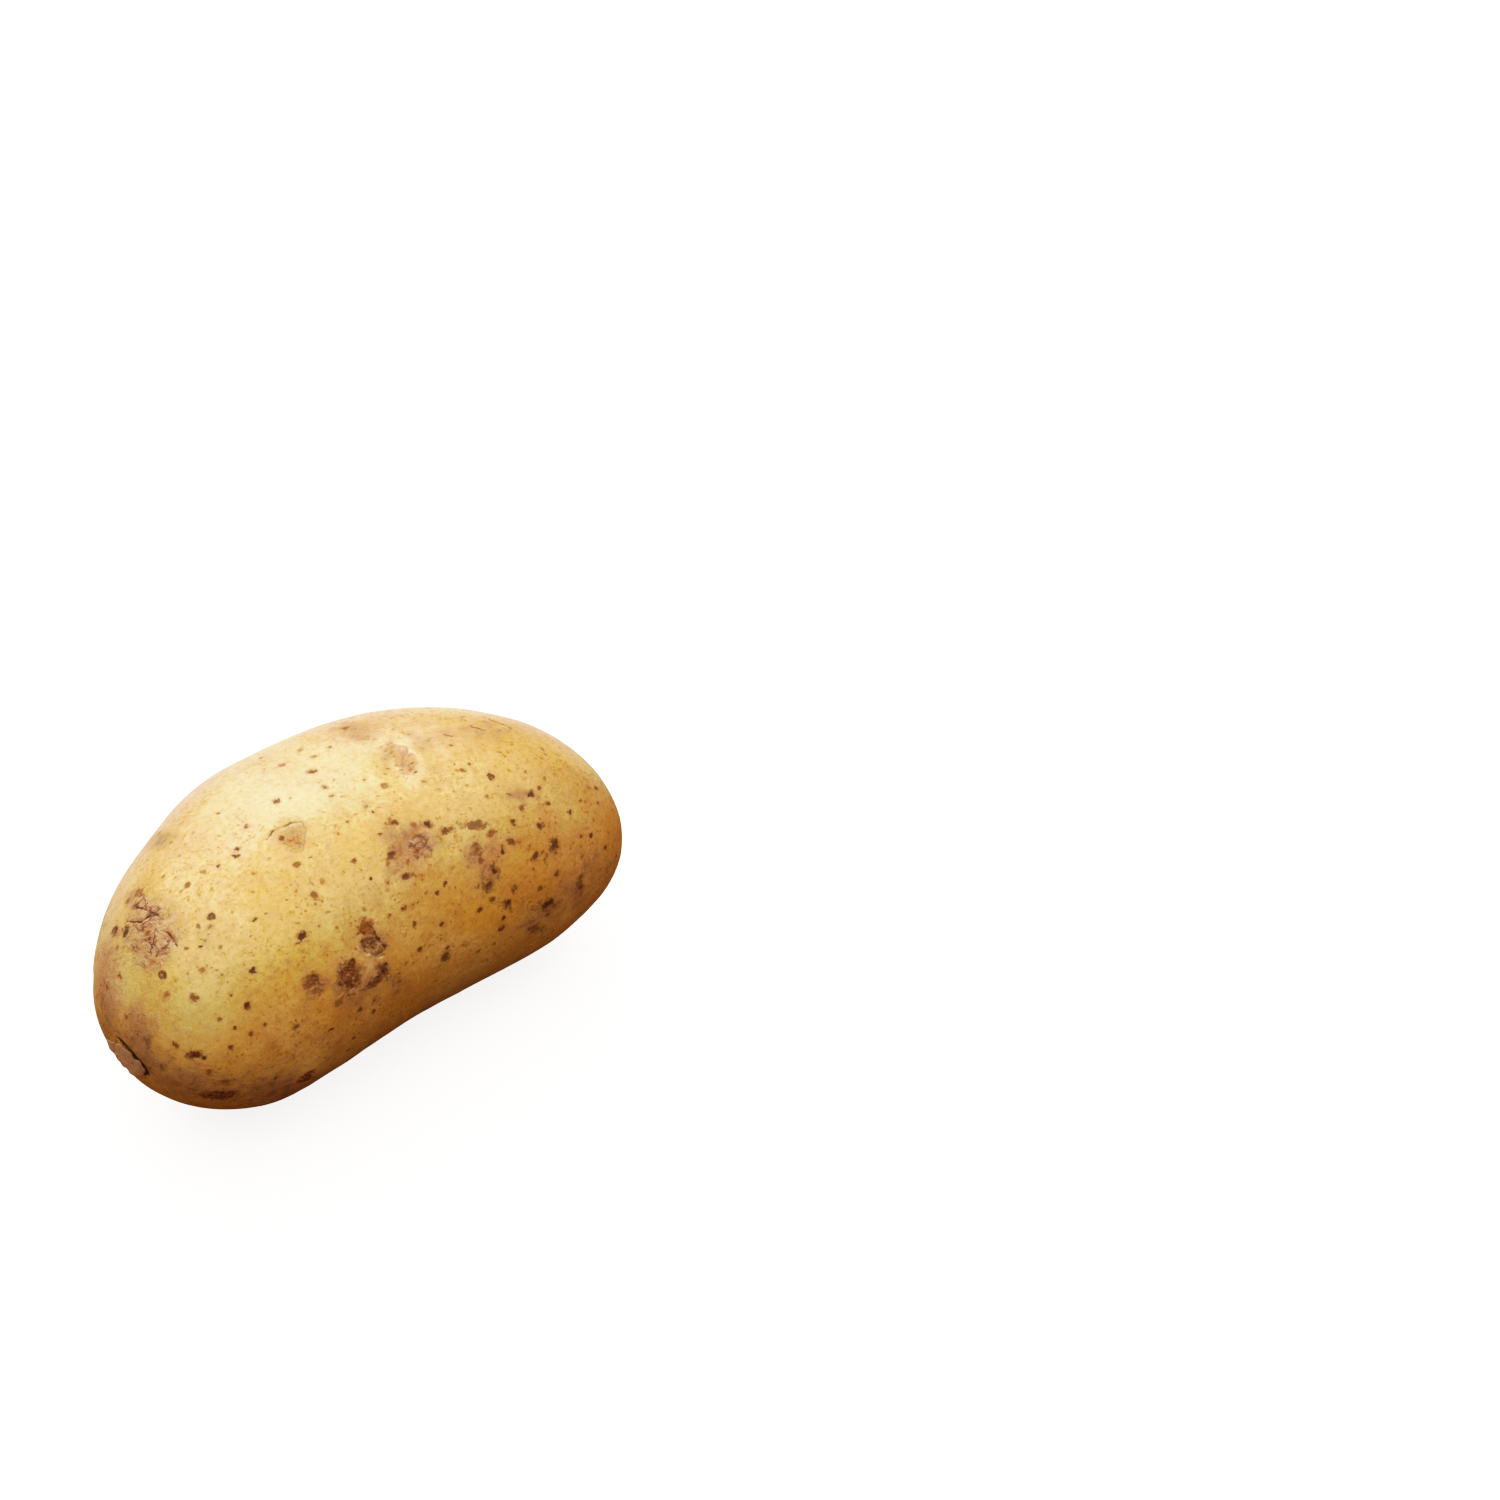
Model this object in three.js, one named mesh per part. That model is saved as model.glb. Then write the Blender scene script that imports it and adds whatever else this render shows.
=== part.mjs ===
// A potato: one tuber, 100 mm long, lying on a small flat spot.
// Millimetres, +Z up, +X towards the narrow stem end. The origin is on the resting surface,
// under the middle of the tuber.
//
// Every point of the skin is worked out from a direction on the unit sphere. The body formula
// turns that direction into a bent, tapered oval, and then broad swellings and hollows, the eyes,
// the stem scar and the larger skin scars are raised from it or sunk into it.

import * as THREE from "three";
import { mergeVertices } from "three/addons/utils/BufferGeometryUtils.js";

// Driving dimensions of the body.
const halfLength = 50;
const halfWidth = 27.5;
const halfHeight = 25;
const bend = 8; // how far the middle bows towards +Y, away from the straight side
const sway = 3.8; // how far the two ends swing to opposite sides
const rise = -1.7; // how far the narrow half sinks and the blunt half lifts
const bluntEnds = 0.23; // extra girth at both ends, as a share
const flatSpotDepth = 0.5; // how much of the lowest skin is pressed flat
const facetRows = 22; // the icosahedron's edges are split into this many, and one more

// A place on the skin is given by `along`, from -1 at the blunt end to 1 at the narrow end, and by
// `around`, in degrees from the top, positive down the near side (-Y).

// Broad swellings (height above 0) and hollows (below 0), each fading over `reach`.
const swellings = [
  { along: -0.24, around: -52, reach: 16, height: 1.7 }, // far side of the blunt half
  { along: 0.24, around: -47, reach: 16, height: 0.8 }, // far side of the narrow half
  { along: 0.85, around: 115, reach: 14, height: 1.3 }, // low corner of the narrow end
  { along: -0.6, around: 130, reach: 12, height: 1.4 }, // low corner of the blunt half
  { along: 0.1, around: 124, reach: 18, height: -0.7 }, // the waist on the near side
  { along: 0.5, around: 122, reach: 9, height: 0.5 }, // past the waist, on the narrow half
  { along: -0.51, around: 110, reach: 3.5, height: 0.5 }, // small knob low on the near side
  { along: -0.52, around: 30, reach: 12, height: 0.5 }, // full shoulder of the blunt end
  { along: 0.05, around: 5, reach: 13, height: -0.5 }, // shallow saddle on the back
  { along: 0.45, around: -120, reach: 15, height: -0.9 }, // hollow on the far side
  { along: -0.35, around: -125, reach: 14, height: 0.7 }, // low swelling on the far side
  { along: 0.75, around: 20, reach: 12, height: 0.5 }, // top of the narrow end
];

// Eyes: a dimple as wide as `width` across the tuber, with the arched brow on its stem side.
const eyes = [
  { along: 0.25, around: 7, width: 10, depth: 1.2, brow: 0.55 },
  { along: -0.2, around: 61, width: 8, depth: 0.7, brow: 0.3 },
  { along: -0.22, around: 9, width: 7.5, depth: 0.45, brow: 0.25 },
  { along: 0.55, around: -70, width: 9, depth: 1.1, brow: 0.45 },
  { along: -0.06, around: -108, width: 9, depth: 1.2, brow: 0.5 },
  { along: -0.5, around: -88, width: 8, depth: 1.0, brow: 0.45 },
  { along: -0.66, around: -158, width: 8, depth: 1.0, brow: 0.4 },
  { along: 0.36, around: 150, width: 9, depth: 1.0, brow: 0.4 },
  { along: -0.92, around: -92, width: 6, depth: 0.8, brow: 0.35 },
  { along: -0.96, around: -165, width: 6, depth: 0.8, brow: 0.35 },
];

// Skin scars and the stem scar: a round pit with a low rim, or a rough patch that stands proud.
const scars = [
  { along: -0.29, around: 70, radius: 2.6, depth: 0.35, rim: 0.08 }, // main pitted scab
  { along: -0.43, around: 64, radius: 1.7, depth: 0.3, rim: 0.06 }, // its small neighbour
  { along: -0.79, around: -7, radius: 4.4, depth: -0.35, rim: 0 }, // cracked scab, raised
  { along: 0.11, around: 39, radius: 3.4, depth: 0.25, rim: 0 }, // brown patch, a little sunk
  { along: 0.985, around: -115, radius: 4, depth: 1.1, rim: 0.35 }, // stem scar
];

function directionOf(along, around) {
  const angle = THREE.MathUtils.degToRad(around);
  const across = Math.sqrt(1 - along * along);
  return new THREE.Vector3(along, -across * Math.sin(angle), across * Math.cos(angle));
}

// The body without its relief: an oval whose girth changes along it and whose middle line bows.
function bodyPoint(direction) {
  const s = direction.x;
  const girth = 1 + bluntEnds * s * s;
  const swing = s - s ** 3;
  return new THREE.Vector3(
    halfLength * s,
    bend * (1 - s * s) + sway * swing + halfWidth * girth * direction.y,
    rise * swing + halfHeight * girth * direction.z,
  );
}

// Outward normal of the plain oval, which the relief is raised along.
function outwardNormal(direction) {
  return new THREE.Vector3(
    direction.x / halfLength,
    direction.y / halfWidth,
    direction.z / halfHeight,
  ).normalize();
}

// A feature's centre on the body and two tangents there: `stemward` along the tuber towards the
// stem end, and `sideways` across it.
function placeOf({ along, around }) {
  const direction = directionOf(along, around);
  const normal = outwardNormal(direction);
  const sideways = new THREE.Vector3().crossVectors(normal, new THREE.Vector3(1, 0, 0)).normalize();
  const stemward = new THREE.Vector3().crossVectors(sideways, normal).normalize();
  return { centre: bodyPoint(direction), stemward, sideways };
}

const bell = (distance, reach) => Math.exp(-((distance / reach) ** 2));

function swellingHeight(swelling, offset) {
  return swelling.height * bell(offset.length(), swelling.reach);
}

// A dimple, and an arched ridge that curls round its stem side.
function eyeHeight(eye, offset) {
  const u = offset.dot(eye.place.stemward);
  const v = offset.dot(eye.place.sideways);
  const dimple = bell(u, 0.34 * eye.width) * bell(v, 0.5 * eye.width);
  const arch = 0.38 * eye.width - (v * v) / (1.6 * eye.width);
  const ridge = bell(u - arch, 0.17 * eye.width) * bell(v, 0.48 * eye.width);
  return (eye.brow * ridge - eye.depth * dimple) * bell(offset.length(), 1.6 * eye.width);
}

// A flat-bottomed pit with a smooth wall and a rim, or the same shape turned outwards.
function scarHeight(scar, offset) {
  const share = offset.length() / scar.radius;
  const floor = 1 - THREE.MathUtils.smoothstep(share, 0.45, 1.15);
  const rim = scar.rim * bell(share - 1.2, 0.35);
  return rim - scar.depth * floor;
}

const relief = [
  [swellings, swellingHeight],
  [eyes, eyeHeight],
  [scars, scarHeight],
];
for (const [features] of relief) {
  for (const feature of features) feature.place = placeOf(feature);
}

function skinPoint(direction) {
  const body = bodyPoint(direction);
  let height = 0;
  for (const [features, heightOf] of relief) {
    for (const feature of features) {
      height += heightOf(feature, body.clone().sub(feature.place.centre));
    }
  }
  return body.addScaledVector(outwardNormal(direction), height);
}

// Even facets: an icosahedron split into small triangles, each corner moved out to the skin.
function tuberGeometry() {
  const round = new THREE.IcosahedronGeometry(1, facetRows);
  round.deleteAttribute("normal");
  round.deleteAttribute("uv");
  const skin = mergeVertices(round);
  const corners = skin.getAttribute("position");
  const direction = new THREE.Vector3();
  for (let i = 0; i < corners.count; i++) {
    direction.fromBufferAttribute(corners, i).normalize();
    corners.setXYZ(i, ...skinPoint(direction).toArray());
  }
  pressFlatSpot(skin);
  standOnOrigin(skin);
  skin.computeVertexNormals();
  return skin;
}

// The lowest skin is pressed flat where the tuber rests.
function pressFlatSpot(skin) {
  skin.computeBoundingBox();
  const floor = skin.boundingBox.min.z + flatSpotDepth;
  const corners = skin.getAttribute("position");
  for (let i = 0; i < corners.count; i++) {
    if (corners.getZ(i) < floor) corners.setZ(i, floor);
  }
}

function standOnOrigin(skin) {
  skin.computeBoundingBox();
  const { min, max } = skin.boundingBox;
  skin.translate(-(min.x + max.x) / 2, -(min.y + max.y) / 2, -min.z);
}

const skinMaterial = new THREE.MeshStandardMaterial({
  color: 0xd2a455,
  roughness: 0.5,
  metalness: 0,
});

const potato = new THREE.Mesh(tuberGeometry(), skinMaterial);
potato.name = "potato";

const part = new THREE.Group();
part.add(potato);

export default part;
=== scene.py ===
import math

import bpy
import numpy as np
from mathutils import Matrix, Vector


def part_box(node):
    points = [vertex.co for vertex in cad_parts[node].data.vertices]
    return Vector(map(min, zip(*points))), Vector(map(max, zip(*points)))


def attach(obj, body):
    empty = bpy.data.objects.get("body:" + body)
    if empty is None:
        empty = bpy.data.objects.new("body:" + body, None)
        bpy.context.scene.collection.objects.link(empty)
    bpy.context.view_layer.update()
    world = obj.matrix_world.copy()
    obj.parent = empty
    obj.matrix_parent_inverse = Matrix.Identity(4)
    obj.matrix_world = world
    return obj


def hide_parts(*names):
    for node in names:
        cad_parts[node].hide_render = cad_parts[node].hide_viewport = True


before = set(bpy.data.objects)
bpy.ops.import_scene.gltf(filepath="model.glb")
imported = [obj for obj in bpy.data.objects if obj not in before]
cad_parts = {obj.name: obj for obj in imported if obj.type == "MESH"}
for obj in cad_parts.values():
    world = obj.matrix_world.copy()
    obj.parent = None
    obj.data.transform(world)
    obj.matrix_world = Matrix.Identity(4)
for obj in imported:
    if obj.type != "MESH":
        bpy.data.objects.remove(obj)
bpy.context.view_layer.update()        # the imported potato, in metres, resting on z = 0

# One potato. Its skin is a single closed surface, worked out in millimetres from directions on the
# unit sphere, and set down where the frame's own potato stands. A small flake of loose skin is the
# only other piece.

mm = 0.001
photoSize = 1500         # the photograph is this many pixels each way

# Where the photograph was taken from.
photoView = {
    "turn": 38,          # degrees from looking along +Y, towards +X
    "elevation": 42,     # degrees above the horizon
    "distance": 718,     # mm from the tuber's middle
    "lens": 100,         # mm, on a sensor 36 mm wide
    "sensor": 36,
    "middlePixel": (364.1, 914.8),   # where the middle of the body formula shows
    "leastFacing": 0.02,             # skin shows where it faces the camera by more than this
}

# The body, the same as in the solid.
body = {
    "halfLength": 50,
    "halfWidth": 27.5,
    "halfHeight": 25,
    "bend": 8,           # how far the middle bows towards +Y
    "sway": 3.8,         # how far the two ends swing to opposite sides
    "rise": -1.7,        # how far the narrow half sinks
    "bluntEnds": 0.23,   # extra girth at both ends, as a share
    "flatSpotDepth": 0.5,
    "gridSteps": 127,    # quads along the edge of each of the six faces
    "crowding": 0.3,     # how strongly the grid is drawn to the side that the photograph shows
    "crowdedSide": (-0.70, -0.49, 0.51),
}

# Broad swellings and hollows: (along, around, reach, height). Along runs from -1 at the blunt end to
# 1 at the stem end, and around is degrees from the top, positive down the near side.
swellings = [
    (-0.24, -52, 16, 1.7),
    (0.24, -47, 16, 0.8),
    (0.85, 115, 14, 1.3),
    (-0.6, 130, 12, 1.4),
    (0.1, 124, 18, -0.7),
    (0.5, 122, 9, 0.5),
    (-0.51, 110, 3.5, 0.5),
    (-0.52, 30, 12, 0.5),
    (0.05, 5, 13, -0.5),
    (0.45, -120, 15, -0.9),
    (-0.35, -125, 14, 0.7),
    (0.75, 20, 12, 0.5),
]

# Eyes: (along, around, width, depth, brow).
eyes = [
    (0.25, 7, 10, 1.2, 0.55),
    (-0.2, 61, 8, 0.7, 0.3),
    (-0.22, 9, 7.5, 0.45, 0.25),
    (0.55, -70, 9, 1.1, 0.45),
    (-0.06, -108, 9, 1.2, 0.5),
    (-0.5, -88, 8, 1.0, 0.45),
    (-0.66, -158, 8, 1.0, 0.4),
    (0.36, 150, 9, 1.0, 0.4),
    (-0.92, -92, 6, 0.8, 0.35),
    (-0.96, -165, 6, 0.8, 0.35),
]

# Larger scars: (along, around, radius, depth, rim).
scars = [
    (-0.29, 70, 2.6, 0.35, 0.08),
    (-0.43, 64, 1.7, 0.3, 0.06),
    (-0.79, -7, 4.4, -0.35, 0),
    (0.11, 39, 3.4, 0.25, 0),
    (0.985, -115, 4, 1.1, 0.35),
]


# Smooth numbers from -1 to 1: seeded values at the corners of cubes, blended by quintic steps.
def lumps(points, cell, seed):
    count, mixers = 4096, (73856093, 19349663, 83492791)
    table = np.random.default_rng(seed).uniform(-1, 1, count)
    scaled = points / cell
    corner = np.floor(scaled).astype(np.int64)
    part = scaled - corner
    part = part ** 3 * (part * (part * 6 - 15) + 10)
    total = np.zeros(len(points))
    for step in np.ndindex(2, 2, 2):
        at = (corner + step) * mixers
        pick = at[:, 0] ^ at[:, 1] ^ at[:, 2]
        share = np.prod(np.where(np.array(step) == 1, part, 1 - part), axis=1)
        total += share * table[pick % count]
    return total


def smooth(low, high, value):
    share = np.clip((value - low) / (high - low), 0, 1)
    return share * share * (3 - 2 * share)


def bell(distance, reach):
    return np.exp(-(distance / reach) ** 2)


def unit(vectors):
    return vectors / np.linalg.norm(vectors, axis=-1, keepdims=True)


# Grid of directions: on each face of a cube, u and v run from -1 to 1, tan(u * 45 degrees) spaces
# them evenly, and the point is pushed out to the unit sphere. Adding a fixed vector before the last
# push draws the grid together on one side. Corners shared by faces are merged.
def sphereGrid(steps, crowding, side):
    line = np.tan(np.linspace(-1, 1, steps + 1) * math.pi / 4)
    u, v = np.meshgrid(line, line, indexing="ij")
    one = np.ones_like(u)
    sheets = [(one, u, v), (-one, v, u), (v, one, u), (u, -one, v), (u, v, one), (v, u, -one)]
    points = np.concatenate([np.stack(s, -1).reshape(-1, 3) for s in sheets])
    forward = unit(np.array(side, float))
    sideways = unit(np.cross(forward, (0.0, 0.0, 1.0)))
    turned = unit(points) @ np.array([forward, sideways, np.cross(forward, sideways)])
    keys = np.round(turned * 1e6).astype(np.int64)
    _, first, merged = np.unique(keys, axis=0, return_index=True, return_inverse=True)
    directions = unit(turned[first] + crowding * forward)
    start = np.arange(len(sheets))[:, None, None] * (steps + 1) ** 2
    row = np.arange(steps)[None, :, None] * (steps + 1)
    column = np.arange(steps)[None, None, :]
    corner = (start + row + column).reshape(-1)
    quads = np.stack([corner, corner + steps + 1, corner + steps + 2, corner + 1], -1)
    return directions, merged.reshape(-1)[quads]


# The body: x = 50 s, y and z are a round section that grows towards both ends by bluntEnds s^2,
# bowed by bend (1 - s^2), and swung by sway and rise times (s - s^3).
def bodyPoints(directions):
    s = directions[:, 0]
    girth = 1 + body["bluntEnds"] * s ** 2
    swing = s - s ** 3
    across = body["bend"] * (1 - s ** 2) + body["sway"] * swing
    return np.stack([
        body["halfLength"] * s,
        across + body["halfWidth"] * girth * directions[:, 1],
        body["rise"] * swing + body["halfHeight"] * girth * directions[:, 2],
    ], -1)


def ovalNormals(directions):
    return unit(directions / (body["halfLength"], body["halfWidth"], body["halfHeight"]))


def directionOf(along, around):
    angle = math.radians(around)
    across = math.sqrt(1 - along * along)
    return np.array([[along, -across * math.sin(angle), across * math.cos(angle)]])


# A place on the skin: its centre, outward normal, and two tangents, towards the stem and across.
def placeOf(direction):
    normal = ovalNormals(direction)[0]
    sideways = unit(np.cross(normal, (1.0, 0.0, 0.0)))
    return {
        "centre": bodyPoints(direction)[0],
        "normal": normal,
        "stemward": np.cross(sideways, normal),
        "sideways": sideways,
    }


def offsetsFrom(points, place):
    offset = points - place["centre"]
    return offset @ place["stemward"], offset @ place["sideways"], np.linalg.norm(offset, axis=1)


# Broad form: every swelling is a bell of its height, every eye a dimple with an arched ridge on its
# stem side, every scar a flat-bottomed pit with a rim, all raised along the plain oval's normal.
def broadHeight(points):
    height = np.zeros(len(points))
    for along, around, reach, rise in swellings:
        distance = offsetsFrom(points, placeOf(directionOf(along, around)))[2]
        height += rise * bell(distance, reach)
    for along, around, width, depth, brow in eyes:
        u, v, distance = offsetsFrom(points, placeOf(directionOf(along, around)))
        dimple = bell(u, 0.34 * width) * bell(v, 0.5 * width)
        arch = 0.38 * width - v * v / (1.6 * width)
        ridge = bell(u - arch, 0.17 * width) * bell(v, 0.48 * width)
        height += (brow * ridge - depth * dimple) * bell(distance, 1.6 * width)
    for along, around, radius, depth, rim in scars:
        share = offsetsFrom(points, placeOf(directionOf(along, around)))[2] / radius
        height += rim * bell(share - 1.2, 0.35) - depth * (1 - smooth(0.45, 1.15, share))
    return height


directions, quads = sphereGrid(body["gridSteps"], body["crowding"], body["crowdedSide"])
onBody = bodyPoints(directions)
normals = ovalNormals(directions)
broadSkin = onBody + normals * broadHeight(onBody)[:, None]
print("broad form:", len(directions), "points,", len(quads), "quads")

# The formula's own origin moves to where the frame's potato has it: the box's middle, on the floor.
lowest, highest = (np.array(corner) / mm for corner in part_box("potato"))
low = broadSkin.min(0)
low[2] += body["flatSpotDepth"]
shift = (lowest + highest) / 2 - (low + broadSkin.max(0)) / 2
shift[2] = -low[2]


# The camera's three axes (right, up, towards the camera) and its place, from where the middle of the
# body has to show.
def cameraFrame():
    turn = math.radians(photoView["turn"])
    tilt = math.radians(photoView["elevation"])
    ahead = np.array([math.sin(turn), math.cos(turn), 0])
    right = np.array([math.cos(turn), -math.sin(turn), 0])
    top = np.array([0, 0, 1])
    back = math.sin(tilt) * top - math.cos(tilt) * ahead
    up = math.sin(tilt) * ahead + math.cos(tilt) * top
    pixels = photoView["lens"] / photoView["sensor"] * photoSize
    aside, below = (p - photoSize / 2 for p in photoView["middlePixel"])
    reach = photoView["distance"] / pixels
    aim = shift - right * aside * reach + up * below * reach
    return right, up, back, aim + back * photoView["distance"], pixels


camRight, camUp, camBack, camPlace, camPixels = cameraFrame()
fromCamera = broadSkin + shift - camPlace
camDepth = -(fromCamera @ camBack)
seenAt = np.stack([
    photoSize / 2 + camPixels * (fromCamera @ camRight) / camDepth,
    photoSize / 2 - camPixels * (fromCamera @ camUp) / camDepth,
], -1)
facing = -(unit(fromCamera) * normals).sum(1)


# The point of the skin that shows at a pixel of the photograph.
def skinAt(across, down):
    miss = np.hypot(seenAt[:, 0] - across, seenAt[:, 1] - down)
    miss = np.where(facing > photoView["leastFacing"], miss, np.inf)
    return placeOf(directions[np.argmin(miss)][None])


# What the skin bears. Pixels are (across, down) in the photograph, read off it.
# Pores: (across, down, width in mm, darkness).
poresSeen = [
    (218, 813, 0.8, 0.7), (246, 826, 1.1, 0.8), (193, 833, 0.7, 0.4), (172, 843, 0.9, 0.6),
    (236, 849, 1.1, 0.95), (235, 857, 1.1, 0.9), (219, 866, 0.9, 0.9), (183, 823, 0.5, 0.5),
    (203, 872, 1.1, 0.4), (181, 891, 0.6, 0.4), (164, 877, 0.8, 0.7), (148, 860, 0.7, 0.5),
    (153, 865, 0.4, 0.8), (177, 871, 0.4, 0.4), (254, 873, 0.8, 0.4), (255, 919, 0.9, 0.9),
    (252, 892, 0.7, 0.35), (266, 914, 0.4, 0.6), (198, 926, 0.9, 0.6), (211, 927, 1.0, 0.45),
    (204, 940, 0.6, 0.4), (200, 946, 0.7, 0.95), (186, 949, 0.8, 0.6), (221, 946, 0.8, 0.35),
    (251, 935, 0.35, 0.6), (117, 948, 0.8, 0.4), (166, 952, 0.8, 0.45), (261, 758, 1.0, 0.45),
    (300, 750, 1.2, 0.6), (331, 747, 1.0, 0.75), (314, 756, 1.1, 0.5), (282, 765, 1.3, 0.5),
    (311, 772, 1.6, 0.85), (259, 764, 0.6, 0.4), (346, 728, 1.5, 0.75), (392, 718, 0.9, 0.5),
    (392, 729, 0.8, 0.5), (409, 734, 0.6, 0.9), (364, 780, 0.7, 0.9), (424, 783, 1.0, 0.5),
    (378, 796, 0.6, 0.4), (324, 788, 1.0, 0.8), (332, 797, 1.1, 0.6), (342, 798, 0.5, 0.6),
    (276, 801, 1.4, 0.85), (290, 798, 0.5, 0.6), (366, 808, 0.9, 0.7), (373, 812, 0.8, 0.85),
    (348, 822, 0.7, 0.85), (380, 834, 1.0, 0.85), (386, 825, 0.7, 0.4), (396, 823, 1.2, 0.85),
    (427, 824, 1.4, 1.0), (415, 826, 1.2, 0.55), (392, 855, 1.5, 0.8), (388, 864, 0.8, 0.5),
    (406, 877, 1.4, 0.85), (370, 879, 0.9, 0.95), (388, 883, 0.6, 0.7), (353, 861, 1.0, 0.75),
    (282, 838, 1.2, 0.8), (311, 858, 0.45, 0.7), (269, 859, 0.5, 0.5), (313, 896, 1.4, 0.65),
    (436, 893, 1.0, 0.8), (323, 880, 1.2, 0.25), (303, 937, 1.6, 1.0), (297, 944, 0.6, 0.6),
    (364, 909, 0.8, 0.5), (404, 908, 1.1, 0.8), (389, 915, 0.8, 0.65), (414, 924, 1.1, 0.75),
    (442, 923, 1.1, 0.8), (420, 951, 1.2, 0.75), (447, 948, 1.0, 0.8), (446, 957, 1.9, 0.75),
    (274, 971, 0.6, 0.85), (338, 1004, 1.6, 0.35), (359, 1010, 1.1, 0.7), (374, 1001, 0.8, 0.6),
    (374, 1012, 0.9, 0.7), (296, 1026, 1.2, 0.7), (330, 1030, 0.9, 0.8), (354, 1038, 0.9, 0.7),
    (202, 970, 1.0, 0.35), (166, 994, 1.2, 0.4), (194, 997, 1.5, 0.7), (223, 975, 0.4, 0.6),
    (252, 970, 1.1, 0.95), (247, 987, 0.5, 0.6), (231, 996, 0.5, 0.85), (246, 1006, 1.3, 1.0),
    (219, 1019, 0.8, 0.6), (235, 1028, 0.8, 0.75), (250, 1034, 0.9, 0.65), (264, 1025, 0.7, 0.8),
    (230, 1048, 1.0, 0.85), (175, 1046, 1.2, 0.65), (204, 1057, 0.8, 0.9),
    (209, 1073, 1.2, 0.5), (226, 1083, 1.8, 0.45), (275, 1079, 0.9, 0.8), (348, 1050, 0.9, 0.7),
    (120, 977, 1.2, 0.6), (107, 987, 1.1, 0.55), (126, 1017, 1.0, 0.4), (463, 771, 1.2, 0.7),
    (526, 773, 0.7, 0.4), (544, 779, 0.8, 0.5), (596, 788, 1.1, 0.75), (510, 794, 0.9, 0.6),
    (530, 794, 1.3, 0.9), (522, 806, 1.3, 0.7), (548, 803, 0.9, 0.85), (570, 813, 1.0, 0.9),
    (513, 823, 1.2, 0.85), (540, 826, 1.4, 0.85), (591, 834, 1.0, 0.9), (445, 832, 1.5, 0.75),
    (451, 828, 0.9, 0.6), (491, 833, 1.4, 0.6), (510, 843, 1.4, 0.7), (554, 844, 1.8, 0.85),
    (550, 850, 1.0, 0.6), (535, 856, 1.3, 0.75), (502, 853, 0.9, 0.95), (494, 872, 1.2, 0.9),
    (556, 873, 1.3, 0.75), (533, 870, 0.7, 0.6), (445, 884, 1.0, 0.8), (452, 868, 0.5, 0.6),
    (487, 886, 1.6, 0.7), (540, 888, 1.2, 0.7), (514, 890, 1.4, 0.6), (544, 859, 0.8, 0.6),
    (606, 847, 1.0, 0.8), (492, 900, 1.3, 0.75), (507, 904, 1.3, 0.95), (479, 909, 1.2, 0.85),
    (547, 905, 2.1, 0.95), (547, 914, 0.9, 0.7), (503, 918, 0.9, 0.9), (500, 928, 1.4, 0.8),
    (535, 926, 1.3, 0.5), (477, 851, 1.1, 0.5), (480, 860, 1.2, 0.6), (478, 950, 0.8, 0.5),
    (494, 943, 0.9, 0.5), (449, 767, 0.5, 0.5), (583, 858, 0.9, 0.4), (126, 932, 2.3, 1.0),
    (115, 932, 1.9, 0.9), (147, 933, 1.1, 0.6), (139, 893, 1.6, 0.5), (128, 901, 1.4, 0.4),
    (409, 862, 1.2, 0.4), (143, 1074, 1.3, 1.0),
    (405, 964, 0.7, 0.35), (418, 903, 0.5, 0.6), (363, 911, 0.5, 0.35), (414, 963, 0.5, 0.35),
    (343, 996, 0.6, 0.7), (357, 927, 0.5, 0.75), (364, 934, 0.6, 0.85), (357, 934, 0.5, 0.7),
    (350, 924, 0.4, 0.4), (353, 963, 1.3, 1.0), (351, 986, 1.4, 1.0), (340, 983, 1.0, 1.0),
    (361, 941, 0.8, 0.8), (412, 764, 0.8, 0.85),
    (414, 772, 0.7, 0.8), (402, 770, 0.8, 0.55), (386, 752, 0.5, 0.5), (391, 755, 0.5, 0.5),
    (386, 758, 0.5, 0.5), (391, 748, 0.45, 0.45), (388, 770, 0.7, 0.45), (386, 775, 0.7, 0.45),
    (397, 778, 0.6, 0.45), (310, 1075, 1.3, 1.0), (425, 1013, 1.1, 0.9),
    (582, 877, 1.2, 0.6), (581, 888, 1.3, 0.7),
    (385, 964, 0.9, 0.85), (385, 971, 1.2, 0.95), (381, 977, 1.1, 0.9), (376, 981, 1.2, 0.95),
    (369, 984, 1.0, 0.7), (399, 974, 0.8, 0.5), (401, 982, 0.8, 0.5), (374, 934, 0.9, 0.75),
    (378, 940, 0.9, 0.85), (384, 946, 1.0, 0.85), (207, 1096, 1.4, 0.8), (222, 1098, 1.6, 0.9),
    (232, 1096, 1.0, 0.7), (391, 856, 1.4, 0.75), (417, 851, 1.2, 0.65), (488, 885, 1.2, 0.7),
]

# Pores with a paler middle: (across, down, width in mm, darkness).
ringsSeen = [
    (188, 886, 1.3, 0.6), (212, 917, 1.5, 0.85), (384, 787, 1.6, 0.55), (297, 864, 1.4, 0.6),
    (492, 777, 1.6, 0.8), (163, 975, 1.6, 0.8),
]
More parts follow.
